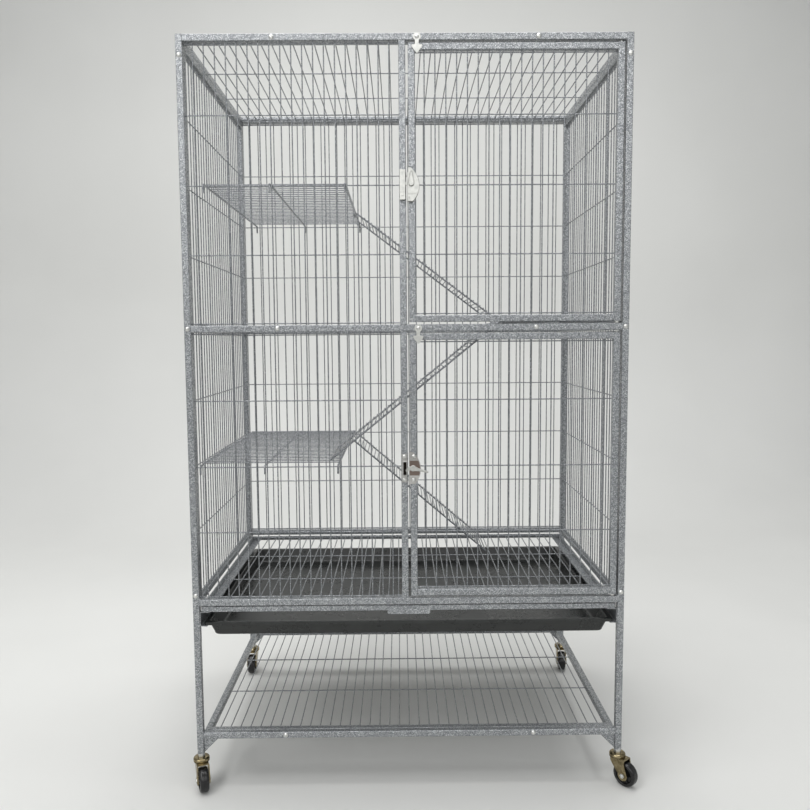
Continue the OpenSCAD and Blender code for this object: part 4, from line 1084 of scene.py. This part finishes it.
def fork(name):
    """One pressing: a channel with round bends, its cheeks tapering down to an eye at the axle."""
    at = castor_place(name)
    top, bend = PLATE_Z + FORK_T, 3.2
    tight = bend - FORK_T
    y, z = AXLE_HALF - bend, top - bend
    section = [(AXLE_HALF, 8.0)] + arc(y, z, bend, 0, 90, 5) + arc(-y, z, bend, 90, 180, 5)
    section += [(-AXLE_HALF, 8.0), (-CHEEK_Y, 8.0)] + arc(-y, z, tight, 90, 180, 5)[::-1]
    section += arc(y, z, tight, 0, 90, 5)[::-1] + [(CHEEK_Y, 8.0)]
    channel, side = bmesh.new(), bmesh.new()
    loft(channel, [[(x, y, z) for y, z in section] for x in (-12.0, 32.0)])
    solid = source_object(name + "_channel", channel)
    outline = [(-8.0, 55.0), (-8.0, 46.0), (-7.2, 43.4), (-4.0, 38.6), (4.0, 29.0), (8.8, 24.8)]
    outline += arc(TRAIL, AXLE_Z, 9.4, 166, 375, 22)
    outline += [(23.6, 36.0), (21.6, 41.2), (20.9, 45.0), (20.9, 55.0)]
    slab(side, outline, 40.0, moved(0, 20.0, 0) @ turned(90, "X"))
    cut(solid, side, "INTERSECT")
    bm = bmesh.new()
    bm.from_mesh(solid.data)
    bmesh.ops.scale(bm, vec=(1 / MM, 1 / MM, 1 / MM), verts=bm.verts)
    bpy.data.objects.remove(solid)
    rim = [e for e in bm.edges if len(e.link_faces) == 2 and e.calc_face_angle() > math.radians(60)]
    bmesh.ops.bevel(bm, geom=rim, offset=0.35, segments=2, profile=0.5, affect="EDGES",
                    clamp_overlap=True)
    bmesh.ops.transform(bm, matrix=at, verts=bm.verts)
    race = [(3.4, 0.0), (13.6, 0.0), (14.7, 0.6), (14.7, 1.5), (13.6, 2.0), (12.4, 2.0),
            (11.4, 4.1), (10.6, 4.4), (3.4, 4.4)]
    lathe(bm, [(r, PLATE_Z + h) for r, h in race], at, 40)
    for way in (-1, 1):
        eye = at @ moved(TRAIL, way * AXLE_HALF, AXLE_Z) @ turned(-90 * way, "X")
        lathe(bm, [(4.6, -0.3), (7.4, -0.3), (7.2, 0.3), (6.6, 0.6), (5.4, 0.6), (4.8, 0.3)],
              eye, 32)
    settle(name + "_fork_pressing", bm, BRONZE, name + "_swivel", [name + "_fork"])


def hex_outline(flats):
    r = flats / 2 / math.cos(math.radians(30))
    angles = [math.radians(60 * k) for k in range(6)]
    return [(r * math.cos(a), r * math.sin(a)) for a in angles]


def axle(name):
    """Axle bolt with a domed head at one end and a hexagon nut at the other."""
    at, end = axle_place(name), AXLE_HALF + 2
    bm = bmesh.new()
    lathe(bm, [(0, -end), (2.5, -end), (2.5, end), (2.1, end + 0.4), (0, end + 0.4)], at, 24)
    slab(bm, hex_outline(8.0), 2.0, at @ moved(0, 0, AXLE_HALF), bevel=0.3)
    lathe(bm, [(0, -end), (3.2, -end), (4.3, 0.8 - end), (4.5, 2 - end), (0, 2 - end)], at, 32)
    settle(name + "_axle_bolt", bm, ZINC, name + "_swivel", [name + "_axle"])


def wheel(name):
    """Moulded wheel: tread with rounded shoulders, a step, a dished web and a raised hub."""
    at = axle_place(name)
    half = WHEEL_HALF
    side = [(2.6, half), (6.2, half), (6.8, half - 0.6), (7.4, half - 3.6), (8.4, half - 4.2),
            (14.4, half - 4.2), (15.4, half - 3.4), (16.0, half - 0.7), (16.6, half - 0.2),
            (19.0, half - 0.2), (20.4, half - 0.6), (21.6, half - 1.8), (22.3, half - 3.4)]
    tread = [(22.5, half - 4.6), (22.5, 0.7), (22.2, 0.35), (22.2, -0.35), (22.5, -0.7),
             (22.5, -half + 4.6)]
    profile = side + tread + [(r, -h) for r, h in reversed(side)]
    bm = bmesh.new()
    lathe(bm, profile, at, 72)
    ribs = bmesh.new()
    for k in range(6):
        spoke = at @ turned(60 * k, "Z")
        for z in (half - 4.6, -half + 1.8):
            slab(ribs, rounded_outline(7.0, -0.9, 15.8, 0.9, 0.3, 2), 2.8, spoke @ moved(0, 0, z),
                 bevel=0.2, segments=1)
    join(bm, ribs)
    settle(name + "_wheel_moulding", bm, WHEEL_PLASTIC, name + "_roller", [name + "_wheel"])


for name in CASTOR_TURNS:
    fork(name)
    axle(name)
    wheel(name)

bm, plugs, nuts = bmesh.new(), bmesh.new(), bmesh.new()
for sx in (-1, 1):
    for sy in (-1, 1):
        at = moved(sx * POST_X, sy * POST_Y, 0)
        lathe(bm, [(3.0, 58.0), (11.0, 58.0), (13.4, 57.4), (14.8, 55.8), (15.0, 53.6),
                   (15.0, 52.4), (14.6, 52.0), (13.0, 52.0), (13.0, 54.4), (3.0, 54.4)], at, 40)
        lathe(bm, [(0, 47.4), (4.8, 47.4), (6.0, 48.2), (6.0, 49.4), (3.0, 49.4), (3.0, 88.0),
                   (2.4, 89.0), (0, 89.0)], at, 28)
        slab(nuts, hex_outline(12.0), 7.0, at @ moved(0, 0, 58.0), bevel=0.5)
        slab(plugs, PLUG_OUTLINE, 24.0, at @ moved(0, 0, LEG_Z))
settle("castor_cups_and_stems", bm, BRONZE, "cage", ["castor_stems"])
settle("castor_lock_nuts", nuts, ZINC, "cage", ["castor_nuts"])
settle("leg_end_plugs", plugs, PLUG_PLASTIC, "cage", ["leg_plugs"])


# Weld runs: one small ribbed bead in each inner corner where two tubes meet
bead = bmesh.new()
lathe(bead, [(0, -4.6), (0.9, -4.3), (1.5, -3.2), (1.7, -1.6), (1.55, -1.2), (1.75, 0.2),
             (1.6, 0.7), (1.7, 2.2), (1.4, 3.4), (0.8, 4.3), (0, 4.6)], None, 8)
bead_source = source_object("weld_bead", bead)
ALONG_X, ALONG_Y, ALONG_Z = (1, 0, 0), (0, 1, 0), (0, 0, 1)
FULL_TURN = 6.28


def bead_ring(put, across, u0, u1, v0, v1):
    """The place and facing of a bead in each corner of an opening."""
    return [(put(u, v, 0), across) for u in (u0, u1) for v in (v0, v1)]


beads = []
for sign in (-1, 1):
    put = front_plane(sign)
    for z in (LOW_Z, UP_Z):
        right = -TUBE if sign < 0 else IN_X
        beads += bead_ring(put, ALONG_Y, -IN_X, right, z, z + OPENING)
        if sign < 0:
            beads += bead_ring(put, ALONG_Y, 0, IN_X, z, z + OPENING)
    beads += bead_ring(put, ALONG_Y, -IN_X, IN_X, SHELF_Z + TUBE, BASE_Z)
    for low, high in ((LOW_Z, MID_Z), (UP_Z, TOP_Z - TUBE)):
        beads += bead_ring(side_plane(sign), ALONG_X, -IN_Y + TUBE, IN_Y - TUBE, low, high)
for name, half, z, wired in LEVELS:
    beads += bead_ring(level_plane(z), ALONG_Z, -half + TUBE, half - TUBE,
                       -IN_Y + TUBE, IN_Y - TUBE)
scatter("frame_weld_beads", bead_source, *zip(*beads), PAINT, "cage", [], FULL_TURN, 11)
for name, z, base in DOORS:
    beads = bead_ring(front_plane(-1), ALONG_Y, DOOR_X0 + TUBE, DOOR_X1 - TUBE,
                      z + TUBE, z + DOOR_H - TUBE)
    scatter(name + "_weld_beads", bead_source, *zip(*beads), PAINT, name + "_leaf", [],
            FULL_TURN, 13)
for source in (bead_source, frame_screw, small_screw):
    bpy.data.objects.remove(source)


# ---------------------------------------------------------------- stage, light and camera
# Sizes and places are metres from here on
FLOOR_HALF, SWEEP_Y, SWEEP_R, WALL_TOP = 18.0, 1.4, 1.2, 9.0


def stage():
    """Pale floor that sweeps up into a backdrop; the object's shadow falls on it."""
    material, tree, place = new_material("pale_studio_floor")
    cloud = add(tree, "ShaderNodeTexNoise", links={"Vector": place, "Scale": 1.2, "Detail": 3.0})
    colour = add(tree, "ShaderNodeValToRGB", links={"Fac": cloud.outputs["Fac"]},
                 stops=[(0.3, "#dadad7"), (0.7, "#e0e0dd")])
    close_material(tree, {"Base Color": colour.outputs["Color"], "Roughness": 0.8})
    profile = [(-FLOOR_HALF, 0.0), (SWEEP_Y, 0.0)]
    profile += arc(SWEEP_Y, SWEEP_R, SWEEP_R, -90, 0, 12)[1:] + [(SWEEP_Y + SWEEP_R, WALL_TOP)]
    bm = bmesh.new()
    left, right = ([bm.verts.new((x, y, z)) for y, z in profile] for x in (-FLOOR_HALF, FLOOR_HALF))
    for k in range(len(profile) - 1):
        bm.faces.new((left[k], right[k], right[k + 1], left[k + 1])).smooth = True
    floor = link("studio_floor", mesh_of("studio_floor", bm))
    floor.data.materials.append(material)


def lamp(name, place, aim, size, power):
    data = bpy.data.lights.new(name, "AREA")
    data.shape = "RECTANGLE"
    data.size, data.size_y = size
    data.energy = power
    made = link(name, data)
    made.location = place
    made.rotation_euler = (Vector(aim) - Vector(place)).to_track_quat("-Z", "Y").to_euler()


SENSOR, FOCAL_PX, FRAME_PX = 36.0, 765.65, 810.0
EYE = (-0.0138, -1.6245, 0.8324)
PITCH_YAW_ROLL = (4.98, -0.39, -0.40)


def camera():
    """The photo's camera, found from the cage's own straight edges."""
    pitch, yaw, roll = (math.radians(a) for a in PITCH_YAW_ROLL)
    level = Matrix.Rotation(yaw, 3, "Z") @ Matrix.Rotation(-pitch, 3, "X")
    right, forward, up = (level.col[k].copy() for k in range(3))
    tilted_right = math.cos(roll) * right + math.sin(roll) * up
    tilted_up = -math.sin(roll) * right + math.cos(roll) * up
    matrix = Matrix((tilted_right, tilted_up, -forward)).transposed().to_4x4()
    data = bpy.data.cameras.new("photo_camera")
    data.sensor_width = SENSOR
    data.lens = SENSOR * FOCAL_PX / FRAME_PX
    data.clip_start, data.clip_end = 0.05, 50.0
    made = link("photo_camera", data)
    made.matrix_world = Matrix.Translation(Vector(EYE) + SHIFT) @ matrix
    bpy.context.scene.camera = made


SKY_LEVEL = 0.35


def sky():
    """Soft even light; the eye and the bright metals see a pale wall all round."""
    world = bpy.data.worlds.new("soft_sky")
    world.use_nodes = True
    tree = world.node_tree
    tree.nodes.clear()
    ray = add(tree, "ShaderNodeLightPath")
    seen = add(tree, "ShaderNodeMath", {"operation": "MAXIMUM"}, {
        0: ray.outputs["Is Camera Ray"], 1: ray.outputs["Is Glossy Ray"]})
    shade = add(tree, "ShaderNodeMixRGB", links={
        0: seen.outputs[0], 1: [SKY_LEVEL * v for v in linear("#e6e9ec")], 2: linear("#c2c3c2")})
    back = add(tree, "ShaderNodeBackground", links={"Color": shade.outputs[0]})
    add(tree, "ShaderNodeOutputWorld", links={"Surface": back.outputs[0]})
    bpy.context.scene.world = world


stage()
camera()
sky()
lamp("front_softbox", (-0.5, -3.4, 2.5), (0, 0, 0.9), (5.0, 2.6), 62)
lamp("key_softbox", (-1.8, -1.6, 3.2), (0, 0, 0.8), (1.6, 1.2), 30)
lamp("top_softbox", (0.0, 0.3, 3.4), (0, 0, 0.5), (2.6, 2.0), 75)
bpy.context.scene.view_settings.view_transform = "Standard"
